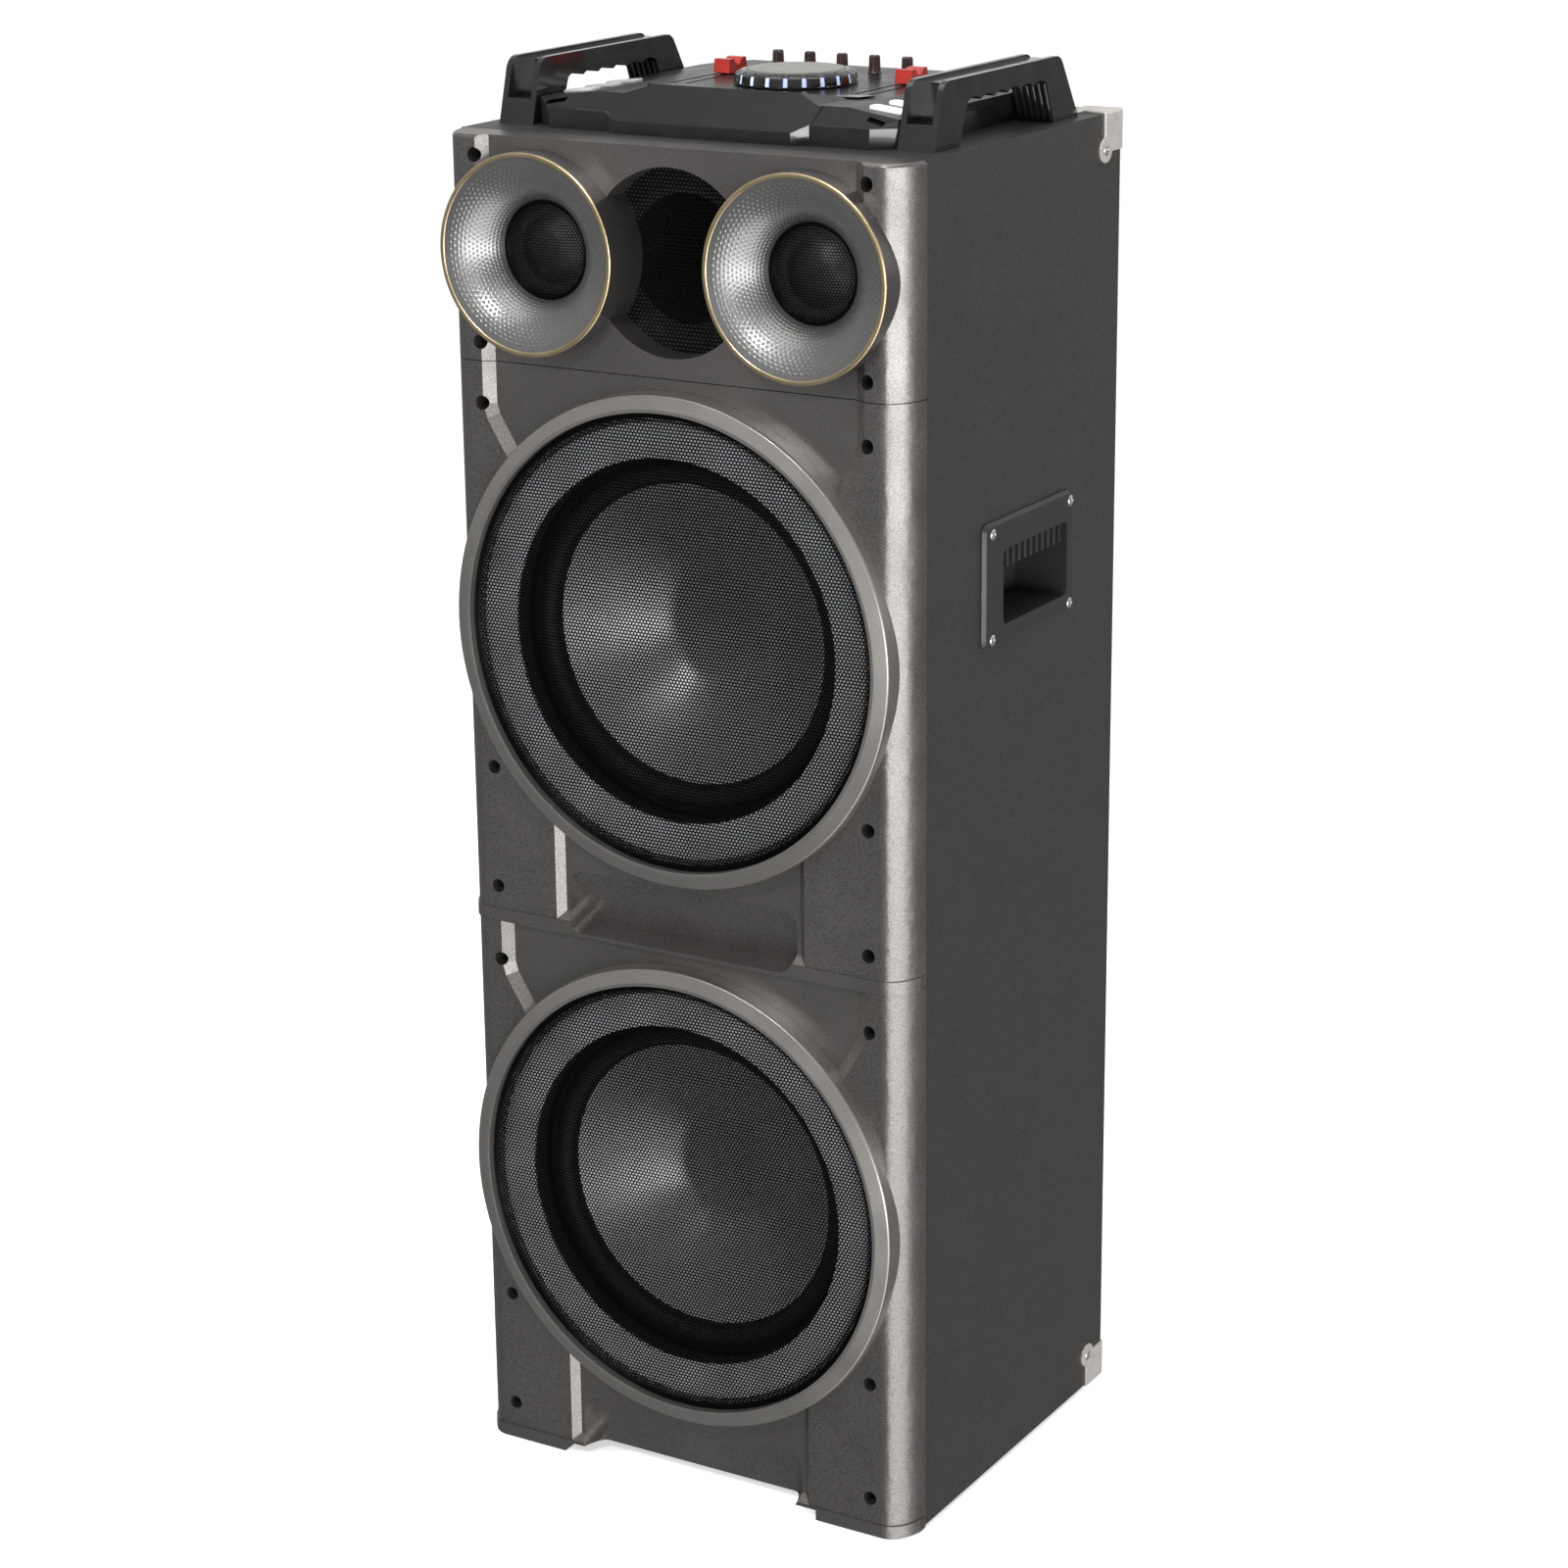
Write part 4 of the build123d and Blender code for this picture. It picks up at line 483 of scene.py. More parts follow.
# -------------------------------------------------------------------------------- mesh helpers
def mesh_object(name, bm, sharp_angle=35):
    """Closes up an edited mesh as an object with smooth faces and sharp creases."""
    bmesh.ops.remove_doubles(bm, verts=bm.verts, dist=0.002 * MM)
    limit = radians(sharp_angle)
    for face in bm.faces:
        face.smooth = True
    for edge in bm.edges:
        edge.smooth = edge.calc_face_angle(0) < limit
    mesh = bpy.data.meshes.new(name)
    bm.to_mesh(mesh)
    bm.free()
    item = bpy.data.objects.new(name, mesh)
    bpy.context.scene.collection.objects.link(item)
    return item


def dress(item, body, slot, material, *replaced):
    """Gives a new piece its body, its material and the CAD nodes that it stands for; the slot argument is
    not used.
    """
    item.data.materials.append(materials[material])
    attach(item, body)
    if replaced:
        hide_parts(*replaced)
    return item


def facing_front(centre, depth):
    """Places points given as radius, angle and distance behind depth, on a piece that faces the front."""
    return lambda radius, angle, behind: Vector(
        (centre.x + radius * cos(angle), depth + behind, centre.z + radius * sin(angle))
    )


def standing(centre, level):
    """Places points given as radius, angle and height, on a round piece that stands upright."""
    return lambda radius, angle, height: Vector(
        (centre.x + radius * cos(angle), centre.y + radius * sin(angle), level + height)
    )


def weave(bm, lines, closed=True):
    """Faces between lines of vertices that follow each other round an axis; closed lines are loops."""
    count = len(lines[0])
    for here, there in zip(lines, lines[1:] + lines[:1]):
        for k in range(count if closed else count - 1):
            after = (k + 1) % count
            bm.faces.new((here[k], here[after], there[after], there[k]))


def turn(bm, outline, place, steps):
    """Revolves a closed outline of radius and distance along the axis."""
    lines = [
        [bm.verts.new(place(radius, FULL_TURN * step / steps, along)) for radius, along in outline]
        for step in range(steps)
    ]
    weave(bm, lines)


def fluted(bm, outline, place, steps, sink):
    """Revolves a closed outline whose radius is less by sink(step, point) at each step and point."""
    lines = [
        [
            bm.verts.new(place(max(0.0, radius - sink(step, k)), FULL_TURN * (step + 0.5) / steps, height))
            for k, (radius, height) in enumerate(outline)
        ]
        for step in range(steps)
    ]
    weave(bm, lines)


def middle(node):
    low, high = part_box(node)
    return (low + high) / 2


def radius_of(node):
    low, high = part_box(node)
    return (high.x - low.x) / 2


# -------------------------------------------------------------------------------- perforated sheets
def perforate(bm, reach, pitch, web, keep, surface):
    """The web between hexagonal holes a pitch apart, where keep(x, z) allows it, laid on surface(x, z)."""
    row_height = pitch * sqrt(3) / 2
    rows = int(reach / row_height) + 1
    columns = int(reach / pitch) + 2
    corner = (pitch - web) / sqrt(3)
    holes = {}
    for row in range(-rows, rows + 1):
        for column in range(-columns, columns + 1):
            x = (column + (row % 2) / 2) * pitch
            z = row * row_height
            if keep(x, z):
                holes[row, column] = [
                    bm.verts.new(surface(x + corner * cos(angle), z + corner * sin(angle)))
                    for angle in (radians(30 + 60 * k) for k in range(6))
                ]
    for (row, column), here in holes.items():
        east = holes.get((row, column + 1))
        north_east = holes.get((row + 1, column + row % 2))
        north_west = holes.get((row + 1, column + row % 2 - 1))
        if east:
            bm.faces.new((here[5], east[3], east[2], here[0]))
        if north_east:
            bm.faces.new((here[0], north_east[4], north_east[3], here[1]))
        if north_west:
            bm.faces.new((here[1], north_west[5], north_west[4], here[2]))
        if east and north_east:
            bm.faces.new((here[0], east[2], north_east[4]))
        if north_east and north_west:
            bm.faces.new((here[1], north_east[3], north_west[5]))


def woofer_grille(place):
    """Perforated steel disc with a plain rolled rim."""
    node = f"woofer_grille_{place}"
    centre, radius = middle(node), radius_of(node)
    low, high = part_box(node)
    rim, lap, skin = 4.5 * MM, 1.5 * MM, 0.3 * MM
    bm = bmesh.new()
    perforate(
        bm,
        reach=radius,
        pitch=2.8 * MM,
        web=1.15 * MM,
        keep=lambda x, z: hypot(x, z) < radius - rim + lap,
        surface=lambda x, z: Vector((centre.x + x, low.y + skin, centre.z + z)),
    )
    thick = high.y - low.y
    outline = [
        (radius - rim, skin),
        (radius - rim + skin, 0),
        (radius - skin, 0),
        (radius, skin),
        (radius, thick),
        (radius - rim, thick),
    ]
    turn(bm, outline, facing_front(centre, low.y), 160)
    dress(mesh_object(f"grille_{place}", bm), "cabinet", "black_mesh", "black_mesh", node)


def funnel(place):
    """Grey step between grille and surround, and the step's inner wall that drops from it to the surround,
    black as painted shade.
    """
    node = f"woofer_trim_{place}"
    low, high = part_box(node)
    centre, outer = (low + high) / 2, radius_of(node)
    inner = radius_of(f"woofer_surround_{place}")
    wall_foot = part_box(f"woofer_surround_{place}")[0].y - low.y
    slope, skin, lip = 2.2 * MM, 2.0 * MM, 0.8 * MM
    face = [
        (outer, skin),
        (outer, lip / 2),
        (outer - lip, 0.0),
        (inner + lip, slope),
        (inner, slope + lip),
        (inner, slope + skin + lip),
    ]
    bm = bmesh.new()
    turn(bm, face, facing_front(centre, low.y), 144)
    dress(mesh_object(f"funnel_{place}", bm), "cabinet", "grey_trim", "grey_trim", node)
    wall_top = slope + lip
    wall = [(inner, wall_top), (inner + skin, wall_top), (inner + skin, wall_foot), (inner, wall_foot)]
    bm = bmesh.new()
    turn(bm, wall, facing_front(centre, low.y), 144)
    # painted shade: black rubber on the trim's inner wall, which lies in shadow
    dress(mesh_object(f"funnel_wall_painted_shade_{place}", bm), "cabinet", "black_rubber", "black_rubber")


def cone(place):
    """Silvered cone with a slightly bowed side and a dished centre."""
    node = f"woofer_cone_{place}"
    low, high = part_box(node)
    centre, outer = (low + high) / 2, radius_of(node)
    cap_radius, neck_radius = 40 * MM, 25 * MM
    start, neck_depth = 1.5 * MM, 48 * MM
    dish, bow, skin = 5 * MM, 1.5 * MM, 1.0 * MM
    cap_depth = neck_depth * (outer - cap_radius) / (outer - neck_radius)
    front = []
    steps = 12
    for k in range(steps + 1):
        share = k / steps
        radius = outer + (cap_radius - outer) * share
        front.append((radius, start + (cap_depth - start) * share - bow * sin(pi * share)))
    for k in range(1, steps + 1):
        share = k / steps
        front.append((cap_radius * (1 - share), cap_depth + dish * sin(pi / 2 * share)))
    outline = front + [(radius, depth + skin) for radius, depth in reversed(front)]
    bm = bmesh.new()
    turn(bm, outline, facing_front(centre, low.y), 128)
    dress(mesh_object(f"cone_{place}", bm), node, "cone_paper", "cone_paper", node)


def port_mesh():
    """Perforated sheet behind the port's opening, cut away round both horns."""
    low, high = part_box("port_grille")
    centre, radius = (low + high) / 2, (high.z - low.z) / 2
    horn, horn_radius = middle("horn_right"), radius_of("horn_right")
    # the sheet lies a little behind the CAD one's face, and its edges run into the sleeve and the barrels
    sheet = low.y + 0.3 * MM
    lap = 2 * MM

    def keep(x, z):
        beside_horn = hypot(abs(x) - horn.x, z + centre.z - horn.z) > horn_radius - lap
        return hypot(x, z) < radius + lap and beside_horn

    bm = bmesh.new()
    perforate(
        bm,
        reach=radius + lap,
        pitch=3.2 * MM,
        web=1.1 * MM,
        keep=keep,
        surface=lambda x, z: Vector((x, sheet, centre.z + z)),
    )
    dress(mesh_object("port_mesh", bm), "cabinet", "black_mesh", "black_mesh", "port_grille")


def tweeter_meshes():
    """Domed perforated guard in each horn's throat."""
    low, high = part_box("tweeter_grilles")
    horn = middle("horn_right")
    radius = high.x - horn.x
    flange, rim = 1.0 * MM, 1.6 * MM
    rise = high.y - low.y - flange
    ball = (radius**2 + rise**2) / (2 * rise)
    edge = low.y + rise
    inner, foot = radius - 1.8 * rim, 0.8 * MM
    outline = [
        (inner, -0.3 * MM),
        (radius - rim, -0.6 * MM),
        (radius, -0.2 * MM),
        (radius, foot),
        (inner, foot),
    ]
    bm = bmesh.new()
    for side in (-1, 1):
        centre = Vector((side * horn.x, 0, horn.z))

        def dome(x, z):
            behind = ball - sqrt(ball**2 - min(radius, hypot(x, z)) ** 2)
            return Vector((centre.x + x, low.y + behind, centre.z + z))

        perforate(
            bm,
            reach=radius,
            pitch=2.3 * MM,
            web=0.75 * MM,
            keep=lambda x, z: hypot(x, z) < radius - rim,
            surface=dome,
        )
        turn(bm, outline, facing_front(centre, edge), 72)
    dress(mesh_object("tweeter_guards", bm), "cabinet", "black_mesh", "black_mesh", "tweeter_grilles")


# -------------------------------------------------------------------------------- horns
def circle_through(a, b, c):
    """The centre of the circle through three points in a plane."""
    spans = ((a, b, c), (b, c, a), (c, a, b))
    divisor = 2 * sum(point.x * (after.y - before.y) for point, after, before in spans)
    x = sum(point.length_squared * (after.y - before.y) for point, after, before in spans)
    y = sum(point.length_squared * (before.x - after.x) for point, after, before in spans)
    return Vector((x, y)) / divisor


# the gold rim's width, measured inwards from the horn's edge
RIM_WIDTH = 3.5 * MM


def horn_rims():
    """Narrow satin gold bead round each horn's mouth."""
    low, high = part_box("horn_trims")
    thick = high.y - low.y
    edge = 0.5 * MM
    eased = 0.15 * edge
    bm = bmesh.new()
    for side in ("left", "right"):
        radius = radius_of(f"horn_{side}")
        inner = radius - RIM_WIDTH
        outline = [
            (inner, edge),
            (inner + edge, eased),
            (inner + 2 * edge, 0.0),
            (radius - 2 * edge, 0.0),
            (radius - edge, eased),
            (radius, edge),
            (radius, thick),
            (inner, thick),
        ]
        turn(bm, outline, facing_front(middle(f"horn_{side}"), low.y), 160)
    dress(mesh_object("horn_rims", bm), "cabinet", "gold_trim", "gold_trim", "horn_trims")


# a dimple's radius, and the points across one dimple and the plain metal beside it, in shares of the spacing
DIMPLE_RADIUS = 0.18
DIMPLE_POINTS = [-0.5, -DIMPLE_RADIUS, -DIMPLE_RADIUS / 2, 0.0, DIMPLE_RADIUS / 2, DIMPLE_RADIUS]


def flare_stations(dimple_rows, plain_share):
    """Stations from throat to mouth: the share of the way, the dimple row, and the place across the row."""
    plain = 5
    stations = [(plain_share * k / plain, None, 0.0) for k in range(plain)]
    row_share = (1 - 2 * plain_share) / dimple_rows
    for row in range(dimple_rows):
        for point in DIMPLE_POINTS:
            stations.append((plain_share + row_share * (row + 0.5 + point), row, point))
    return stations + [(1 - plain_share * (1 - k / plain), None, 0.0) for k in range(plain + 1)]


def horn(side):
    """Flare with staggered rows of small dimples, and the barrel that carries it."""
    node = f"horn_{side}"
    centre, radius = middle(node), radius_of(node)
    low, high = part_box(node)
    place = facing_front(centre, low.y)
    guard_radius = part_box("tweeter_grilles")[1].x - abs(centre.x)
    rim_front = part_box("horn_trims")[0].y - low.y
    throat_depth, throat_gap, rim_step = 26.2 * MM, 0.05 * MM, 0.4 * MM
    dimple_columns, dimple_rows, dimple_depth = 84, 14, 0.35 * MM

    # the flare is one arc from throat to mouth, through a point a little outside and in front of the throat
    throat = Vector((guard_radius + throat_gap, throat_depth))
    bend = throat + Vector((9.5 * MM, -15 * MM))
    mouth = Vector((radius - RIM_WIDTH, rim_front + rim_step))
    hub = circle_through(throat, bend, mouth)
    reach = (throat - hub).length
    start = atan2(throat.y - hub.y, throat.x - hub.x)
    end = atan2(mouth.y - hub.y, mouth.x - hub.x)
    if abs(end - start) > pi:
        end += FULL_TURN if end < start else -FULL_TURN
    stations = flare_stations(dimple_rows, plain_share=0.07)
    bm = bmesh.new()
    columns = []
    for column in range(dimple_columns):
        for across in DIMPLE_POINTS:
            line = []
            for share, row, along in stations:
                shift = 0.5 * (row % 2) if row is not None else 0.0
                angle = FULL_TURN * (column + 0.5 + across + shift) / dimple_columns
                off_centre = hypot(across, along) / DIMPLE_RADIUS
                sink = dimple_depth * max(0.0, 1 - off_centre**2) if row is not None else 0.0
                turned = start + (end - start) * share
                out, behind = (reach + sink) * cos(turned), (reach + sink) * sin(turned)
                line.append(bm.verts.new(place(hub.x + out, angle, hub.y + behind)))
            columns.append(line)
    weave(bm, columns, closed=False)
    flare = mesh_object(f"horn_flare_{side}", bm, sharp_angle=60)
    dress(flare, "cabinet", "horn_silver", "horn_silver", node)

    thick = high.y - low.y
    wall, lip, lip_root = 3.5 * MM, 1.2 * MM, 5 * MM
    outline = [
        (mouth.x, 0.0),
        (radius, 0.0),
        (radius, thick),
        (radius - wall, thick),
        (radius - wall, lip_root),
        (mouth.x, lip),
    ]
    bm = bmesh.new()
    turn(bm, outline, place, 144)
    # the barrel keeps the horn_silver slot but takes the darker copy, as painted shade
    dress(mesh_object(f"horn_barrel_{side}", bm), "cabinet", "horn_silver", "horn_silver_painted_shade")


# -------------------------------------------------------------------------------- handles and display
def rod(bm, foot, head, radius, steps=10):
    """A thin round bar between two points, closed at both ends."""
    along = (head - foot).normalized()
    across = along.orthogonal().normalized()
    beside = along.cross(across)
    angles = [FULL_TURN * step / steps for step in range(steps)]
    offsets = [across * (radius * cos(angle)) + beside * (radius * sin(angle)) for angle in angles]
    lower = [bm.verts.new(foot + offset) for offset in offsets]
    upper = [bm.verts.new(head + offset) for offset in offsets]
    for step in range(steps):
        after = (step + 1) % steps
        bm.faces.new((lower[step], lower[after], upper[after], upper[step]))
    bm.faces.new(lower[::-1])
    bm.faces.new(upper)


# a top handle's finger opening: how far its ends are behind the cabinet's front, at the foot and at the top
WINDOW_FOOT = (66.5 * MM, 209 * MM)
WINDOW_TOP = (78.5 * MM, 197 * MM)
WINDOW_HEIGHT = 29 * MM


def handle_ribs(side):
    """Upright grip ribs on both end walls of a top handle's finger opening."""
    low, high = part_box(f"top_handle_{side}")
    ribs, rib_radius = 6, 1.5 * MM
    pitch = (high.x - low.x) / ribs
    bm = bmesh.new()
    for foot_depth, top_depth in zip(WINDOW_FOOT, WINDOW_TOP):
        for rib in range(ribs):
            x = low.x + pitch * (rib + 0.5)
            foot = Vector((x, CABINET_FRONT + foot_depth, CABINET_TOP + rib_radius))
            head = Vector((x, CABINET_FRONT + top_depth, CABINET_TOP + WINDOW_HEIGHT))
            rod(bm, foot, head, rib_radius)
    dress(mesh_object(f"handle_ribs_{side}", bm), "cabinet", "gloss_black", "gloss_black")


def level_below(node, x, y):
    """The level of a CAD node's highest surface at a place."""
    source = nodes[node].data
    tree = BVHTree.FromPolygons([v.co for v in source.vertices], [p.vertices for p in source.polygons])
    well_above = cad_high.z + 1.0
    return tree.ray_cast(Vector((x, y, well_above)), Vector((0, 0, -1)))[0].z


# corners of the right display window in mm, to the right of the middle and behind the cabinet's front
DISPLAY_CORNERS = [(62, 82), (88, 88), (94, 101), (68, 95)]


def display_lenses():
    """Smoked lens in each of the deck's two display windows, on the window's floor."""
    fit, gap, thick, edge = 0.97, 0.05 * MM, 0.9 * MM, 0.25 * MM
    middle_x, middle_depth = (sum(values) / len(values) for values in zip(*DISPLAY_CORNERS))
    for side, hand in ((1, "right"), (-1, "left")):
        floor = level_below("console_deck", side * middle_x * MM, CABINET_FRONT + middle_depth * MM)
        bm = bmesh.new()
        corners = []
        for x, depth in DISPLAY_CORNERS:
            lens_x = side * (middle_x + (x - middle_x) * fit) * MM
            lens_y = CABINET_FRONT + (middle_depth + (depth - middle_depth) * fit) * MM
            corners.append(bm.verts.new((lens_x, lens_y, floor + gap)))
        face = bm.faces.new(corners if side > 0 else corners[::-1])
        grown = bmesh.ops.extrude_face_region(bm, geom=[face])
        raised = [part for part in grown["geom"] if isinstance(part, bmesh.types.BMVert)]
        bmesh.ops.translate(bm, vec=(0, 0, thick), verts=raised)
        bmesh.ops.recalc_face_normals(bm, faces=bm.faces)
        bmesh.ops.bevel(bm, geom=bm.edges[:], offset=edge, segments=2, affect="EDGES")
        dress(mesh_object(f"display_lens_{hand}", bm), "cabinet", "gloss_black", "smoked_lens")


# -------------------------------------------------------------------------------- console pieces
def jog_wheel():
    """Ribbed black skirt with slots between the grips, and the light guides in the slots."""
    radius, disc_radius = radius_of("jog_wheel"), radius_of("jog_disc")
    height = 10.4 * MM
    place = standing(middle("jog_wheel"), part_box("jog_wheel")[1].z - height)
    foot, seat = 0.4 * MM, height - 2.2 * MM
    outline = [
        (radius - 7 * MM, foot),
        (radius, foot),
        (radius, 1.0 * MM),
        (radius - 0.4 * MM, height * 0.35),
        (radius - 1.0 * MM, height * 0.68),
        (radius - 2.0 * MM, height * 0.78),
        (radius - 6.0 * MM, height - 0.4 * MM),
        (disc_radius + 1.2 * MM, height),
        (disc_radius + 0.4 * MM, height - 0.3 * MM),
        (disc_radius + 0.3 * MM, seat),
        (radius - 12 * MM, seat),
    ]
    # the outline's points from the skirt's foot to its shoulder sink at the first steps of each grip
    side_points = range(1, 6)
    grips, grip_steps, slot_steps, slot_depth = 20, 12, 3, 2.2 * MM
    steps = grips * grip_steps

    def sink(step, point):
        return slot_depth if step % grip_steps < slot_steps and point in side_points else 0.0

    bm = bmesh.new()
    fluted(bm, outline, place, steps, sink)
    skirt = mesh_object("jog_skirt", bm, sharp_angle=25)
    dress(skirt, "jog", "gloss_black", "gloss_black", "jog_wheel")
    jog_windows(place, radius, height, grips, FULL_TURN * slot_steps / steps)


def jog_windows(place, radius, height, grips, slot_turn):
    """Light guides that lean back in the slots, each a little narrower than its slot's turn."""
    foot = (radius - 0.9 * MM, 1.3 * MM)
    head = (radius - 1.9 * MM, height * 0.72)
    thick, margin = 1.2 * MM, 0.06
    bm = bmesh.new()
    for grip in range(grips):
        begin = FULL_TURN * grip / grips
        left, right = begin + slot_turn * margin, begin + slot_turn * (1 - margin)
        corners = ((left, foot), (right, foot), (right, head), (left, head))
        front = [bm.verts.new(place(out, angle, up)) for angle, (out, up) in corners]
        rear = [bm.verts.new(place(out - thick, angle, up)) for angle, (out, up) in corners]
        bm.faces.new(front)
        bm.faces.new(rear[::-1])
        for k in range(4):
            after = (k + 1) % 4
            bm.faces.new((front[k], rear[k], rear[after], front[after]))
    bmesh.ops.recalc_face_normals(bm, faces=bm.faces)
    dress(mesh_object("jog_windows", bm), "jog", "pad_white", "light_guide")


def knob(number):
    """Tall ribbed cap with a pointer line."""
    node = f"knob_{number}"
    centre, top = middle(node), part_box(node)[1].z
    radius, height = 4.65 * MM, 14 * MM
    outline = [
        (0.0, 0.0),
        (radius + 0.45 * MM, 0.0),
        (radius + 0.45 * MM, 1.0 * MM),
        (radius + 0.1 * MM, 1.5 * MM),
        (radius - 0.15 * MM, 2.2 * MM),
        (radius - 0.55 * MM, height - 1.6 * MM),
        (radius - 0.8 * MM, height - 0.7 * MM),
        (radius - 1.5 * MM, height - 0.1 * MM),
        (radius - 2.2 * MM, height),
        (0.0, height - 0.2 * MM),
    ]
    # the outline's points up the grip sink at the first two steps of each rib
    grip_points = range(4, 7)
    ribs, rib_steps, groove_steps, groove_depth = 16, 4, 2, 0.35 * MM

    def sink(step, point):
        return groove_depth if step % rib_steps < groove_steps and point in grip_points else 0.0

    bm = bmesh.new()
    fluted(bm, outline, standing(centre, top - height), ribs * rib_steps, sink)
    cap = mesh_object(f"knob_cap_{number}", bm, sharp_angle=30)
    dress(cap, node, "knob_black", "knob_black", node)

    width, length, thick, edge = 0.7 * MM, 2.6 * MM, 0.35 * MM, 0.1 * MM
    off_centre, sunk = 1.8 * MM, 0.2 * MM
    bm = bmesh.new()
    bmesh.ops.create_cube(bm, size=1)
    bmesh.ops.scale(bm, vec=(width, length, thick), verts=bm.verts)
    bmesh.ops.bevel(bm, geom=bm.edges[:], offset=edge, segments=2, affect="EDGES")
    bmesh.ops.translate(bm, vec=(centre.x, centre.y + off_centre, top - sunk), verts=bm.verts)
    # the pointer takes pad_white, and with it that material's painted glow
    dress(mesh_object(f"knob_pointer_{number}", bm), node, "pad_white", "pad_white")


# -------------------------------------------------------------------------------- screws
def islands(node):
    """The boxes of the separate solids in a CAD node."""
    bm = bmesh.new()
    bm.from_mesh(nodes[node].data)
    bmesh.ops.remove_doubles(bm, verts=bm.verts, dist=0.01 * MM)
    left = set(bm.verts)
    found = []
    while left:
        queue = [left.pop()]
        group = list(queue)
        while queue:
            vertex = queue.pop()
            for edge in vertex.link_edges:
                other = edge.other_vert(vertex)
                if other in left:
                    left.remove(other)
                    group.append(other)
                    queue.append(other)
        low = Vector([min(v.co[k] for v in group) for k in range(3)])
        high = Vector([max(v.co[k] for v in group) for k in range(3)])
        found.append((low, high))
    bm.free()
    return sorted(found, key=lambda pair: tuple(round(x, 5) for x in pair[0]))


def screw_head(bm, centre, out, radius, height):
    """Domed head with a cross recess, standing on centre and looking along out."""
    across = out.orthogonal().normalized()
    along = out.cross(across)
    steps, levels = 48, 10
    recess, arm = 0.62 * radius, 0.16 * radius
    edge_drop, deeper, lowest = 0.1 * height, 0.45 * height, 0.05 * height
    top = []
    for level in range(levels + 1):
        share = level / levels
        from_axis = radius * share
        ring = []
        for step in range(steps):
            angle = FULL_TURN * step / steps
            x, y = from_axis * cos(angle), from_axis * sin(angle)
            rise = height * (1 - share**3)
            if (abs(x) < arm and abs(y) < recess) or (abs(y) < arm and abs(x) < recess):
                rise -= edge_drop + deeper * sqrt(max(0.0, 1 - from_axis / recess))
            ring.append(bm.verts.new(centre + across * x + along * y + out * max(rise, lowest)))
        top.append(ring)
    for inner, outer in zip(top, top[1:]):
        for step in range(steps):
            after = (step + 1) % steps
            bm.faces.new((inner[step], outer[step], outer[after], inner[after]))


def cabinet_screws():
    """Plated pan heads in place of the CAD ones, each looking away from the middle of the speaker."""
    head = 1.2 * MM
    speaker_middle = (cad_low + cad_high) / 2
    bm = bmesh.new()
    for low, high in islands("cabinet_screws"):
        size = high - low
        centre = (low + high) / 2
        flat_axis = min(range(3), key=lambda k: size[k])
        out = Vector((0, 0, 0))
        out[flat_axis] = 1.0 if centre[flat_axis] > speaker_middle[flat_axis] else -1.0
        face = high[flat_axis] if out[flat_axis] > 0 else low[flat_axis]
        centre[flat_axis] = face - out[flat_axis] * head
        screw_head(bm, centre, out, max(size) / 2, head)
    dress(mesh_object("pan_heads", bm), "cabinet", "bright_steel", "bright_steel", "cabinet_screws")


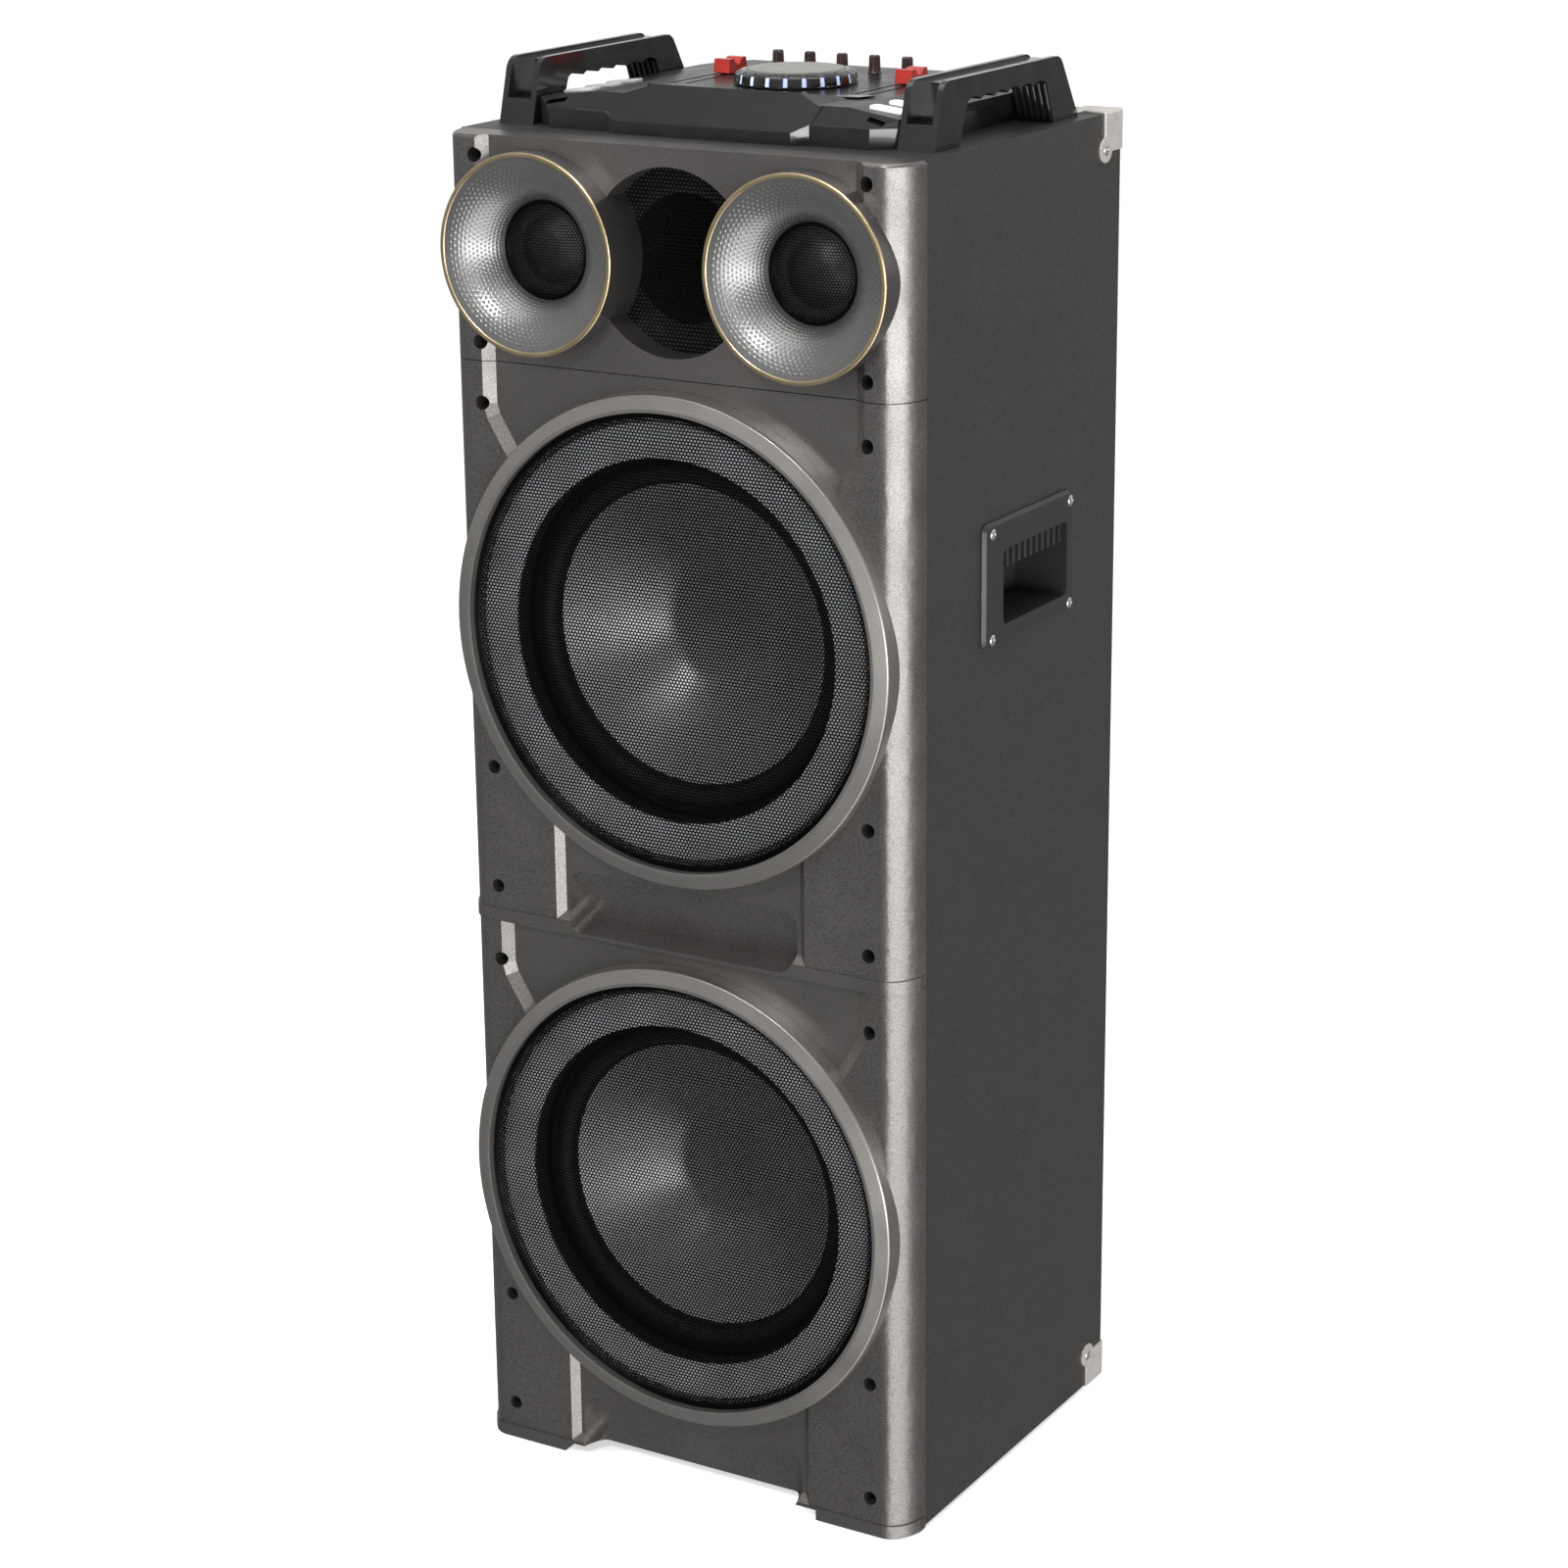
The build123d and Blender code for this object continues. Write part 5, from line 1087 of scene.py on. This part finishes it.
# -------------------------------------------------------------------------------- carried-over CAD nodes
# the material of each CAD node, by the start of its name; the first one that fits counts
SLOT_OF_PREFIX = {
    "side_panel": "cabinet_vinyl",
    "top_panel": "cabinet_vinyl",
    "bottom_panel": "cabinet_vinyl",
    "rear_panel": "cabinet_vinyl",
    "front_baffle": "cabinet_vinyl",
    "fascia_screws": "dark_steel",
    "fascia_": "silver_fascia",
    "woofer_ring": "silver_ring",
    "woofer_trim": "grey_trim",
    "woofer_basket": "dark_steel",
    "woofer_magnet": "magnet_iron",
    "woofer_surround": "black_rubber",
    "woofer_cone": "cone_paper",
    "woofer_grille": "black_mesh",
    "horn_trims": "gold_trim",
    "horn_": "horn_silver",
    "tweeter_driver": "magnet_iron",
    "tweeter_grilles": "black_mesh",
    "port_tube": "black_plastic",
    "port_grille": "black_mesh",
    "side_handle": "black_plastic",
    "top_handle": "gloss_black",
    "corner_protectors": "nickel",
    "cabinet_screws": "bright_steel",
    "rubber_feet": "black_rubber",
    "console_base": "gloss_black",
    "console_deck": "deck_satin",
    "jog_wheel": "gloss_black",
    "jog_disc": "disc_grey",
    "fader_": "red_plastic",
    "knob_": "knob_black",
    "pad_left": "pad_grey",
    "pad_right": "pad_white",
    "amp_panel": "panel_metal",
    "rear_sockets": "black_plastic",
    "power_switch": "gloss_black",
    "amplifier_module": "board_green",
}
# how far, in mm, the edges of a CAD node are rounded, by the start of its name
ROUNDING = {
    "fascia_upper": 0.8,
    "fascia_middle": 0.8,
    "fascia_lower": 0.8,
    "side_handle": 0.5,
    "top_handle": 1.2,
    "corner_protectors": 0.3,
    "console_base": 0.4,
    "console_deck": 0.5,
    "fader_": 0.5,
    "amp_panel": 0.4,
    "rear_sockets": 0.3,
    "power_switch": 0.4,
    "woofer_ring": 0.3,
    "jog_disc": 0.2,
}


def first_match(name, choices):
    return next((value for prefix, value in choices.items() if name.startswith(prefix)), None)


def finish_cad_nodes():
    """Materials for every CAD node, and rounded edges where the real moulding has them."""
    for name, item in nodes.items():
        item.data.materials.clear()
        item.data.materials.append(materials[first_match(name, SLOT_OF_PREFIX)])
        rounding = first_match(name, ROUNDING)
        weld = item.modifiers.new("weld", "WELD")
        weld.merge_threshold = 0.005 * MM
        if rounding:
            bevel = item.modifiers.new("bevel", "BEVEL")
            bevel.width = rounding * MM
            bevel.segments = 2
            bevel.limit_method = "ANGLE"
            bevel.angle_limit = radians(34)
            bevel.use_clamp_overlap = True
            bevel.miter_outer = "MITER_ARC"
        smooth = item.modifiers.new("normals", "WEIGHTED_NORMAL")
        smooth.keep_sharp = True


# -------------------------------------------------------------------------------- the whole object
make_camera()
make_world()
make_lights()
materials = make_materials()
make_floor()
finish_cad_nodes()
for where in ("upper", "lower"):
    woofer_grille(where)
    funnel(where)
    cone(where)
port_mesh()
tweeter_meshes()
horn_rims()
for hand in ("left", "right"):
    horn(hand)
jog_wheel()
for index in range(1, 6):
    knob(index)
for hand in ("left", "right"):
    handle_ribs(hand)
display_lenses()
cabinet_screws()
bpy.context.scene.view_settings.view_transform = "Standard"
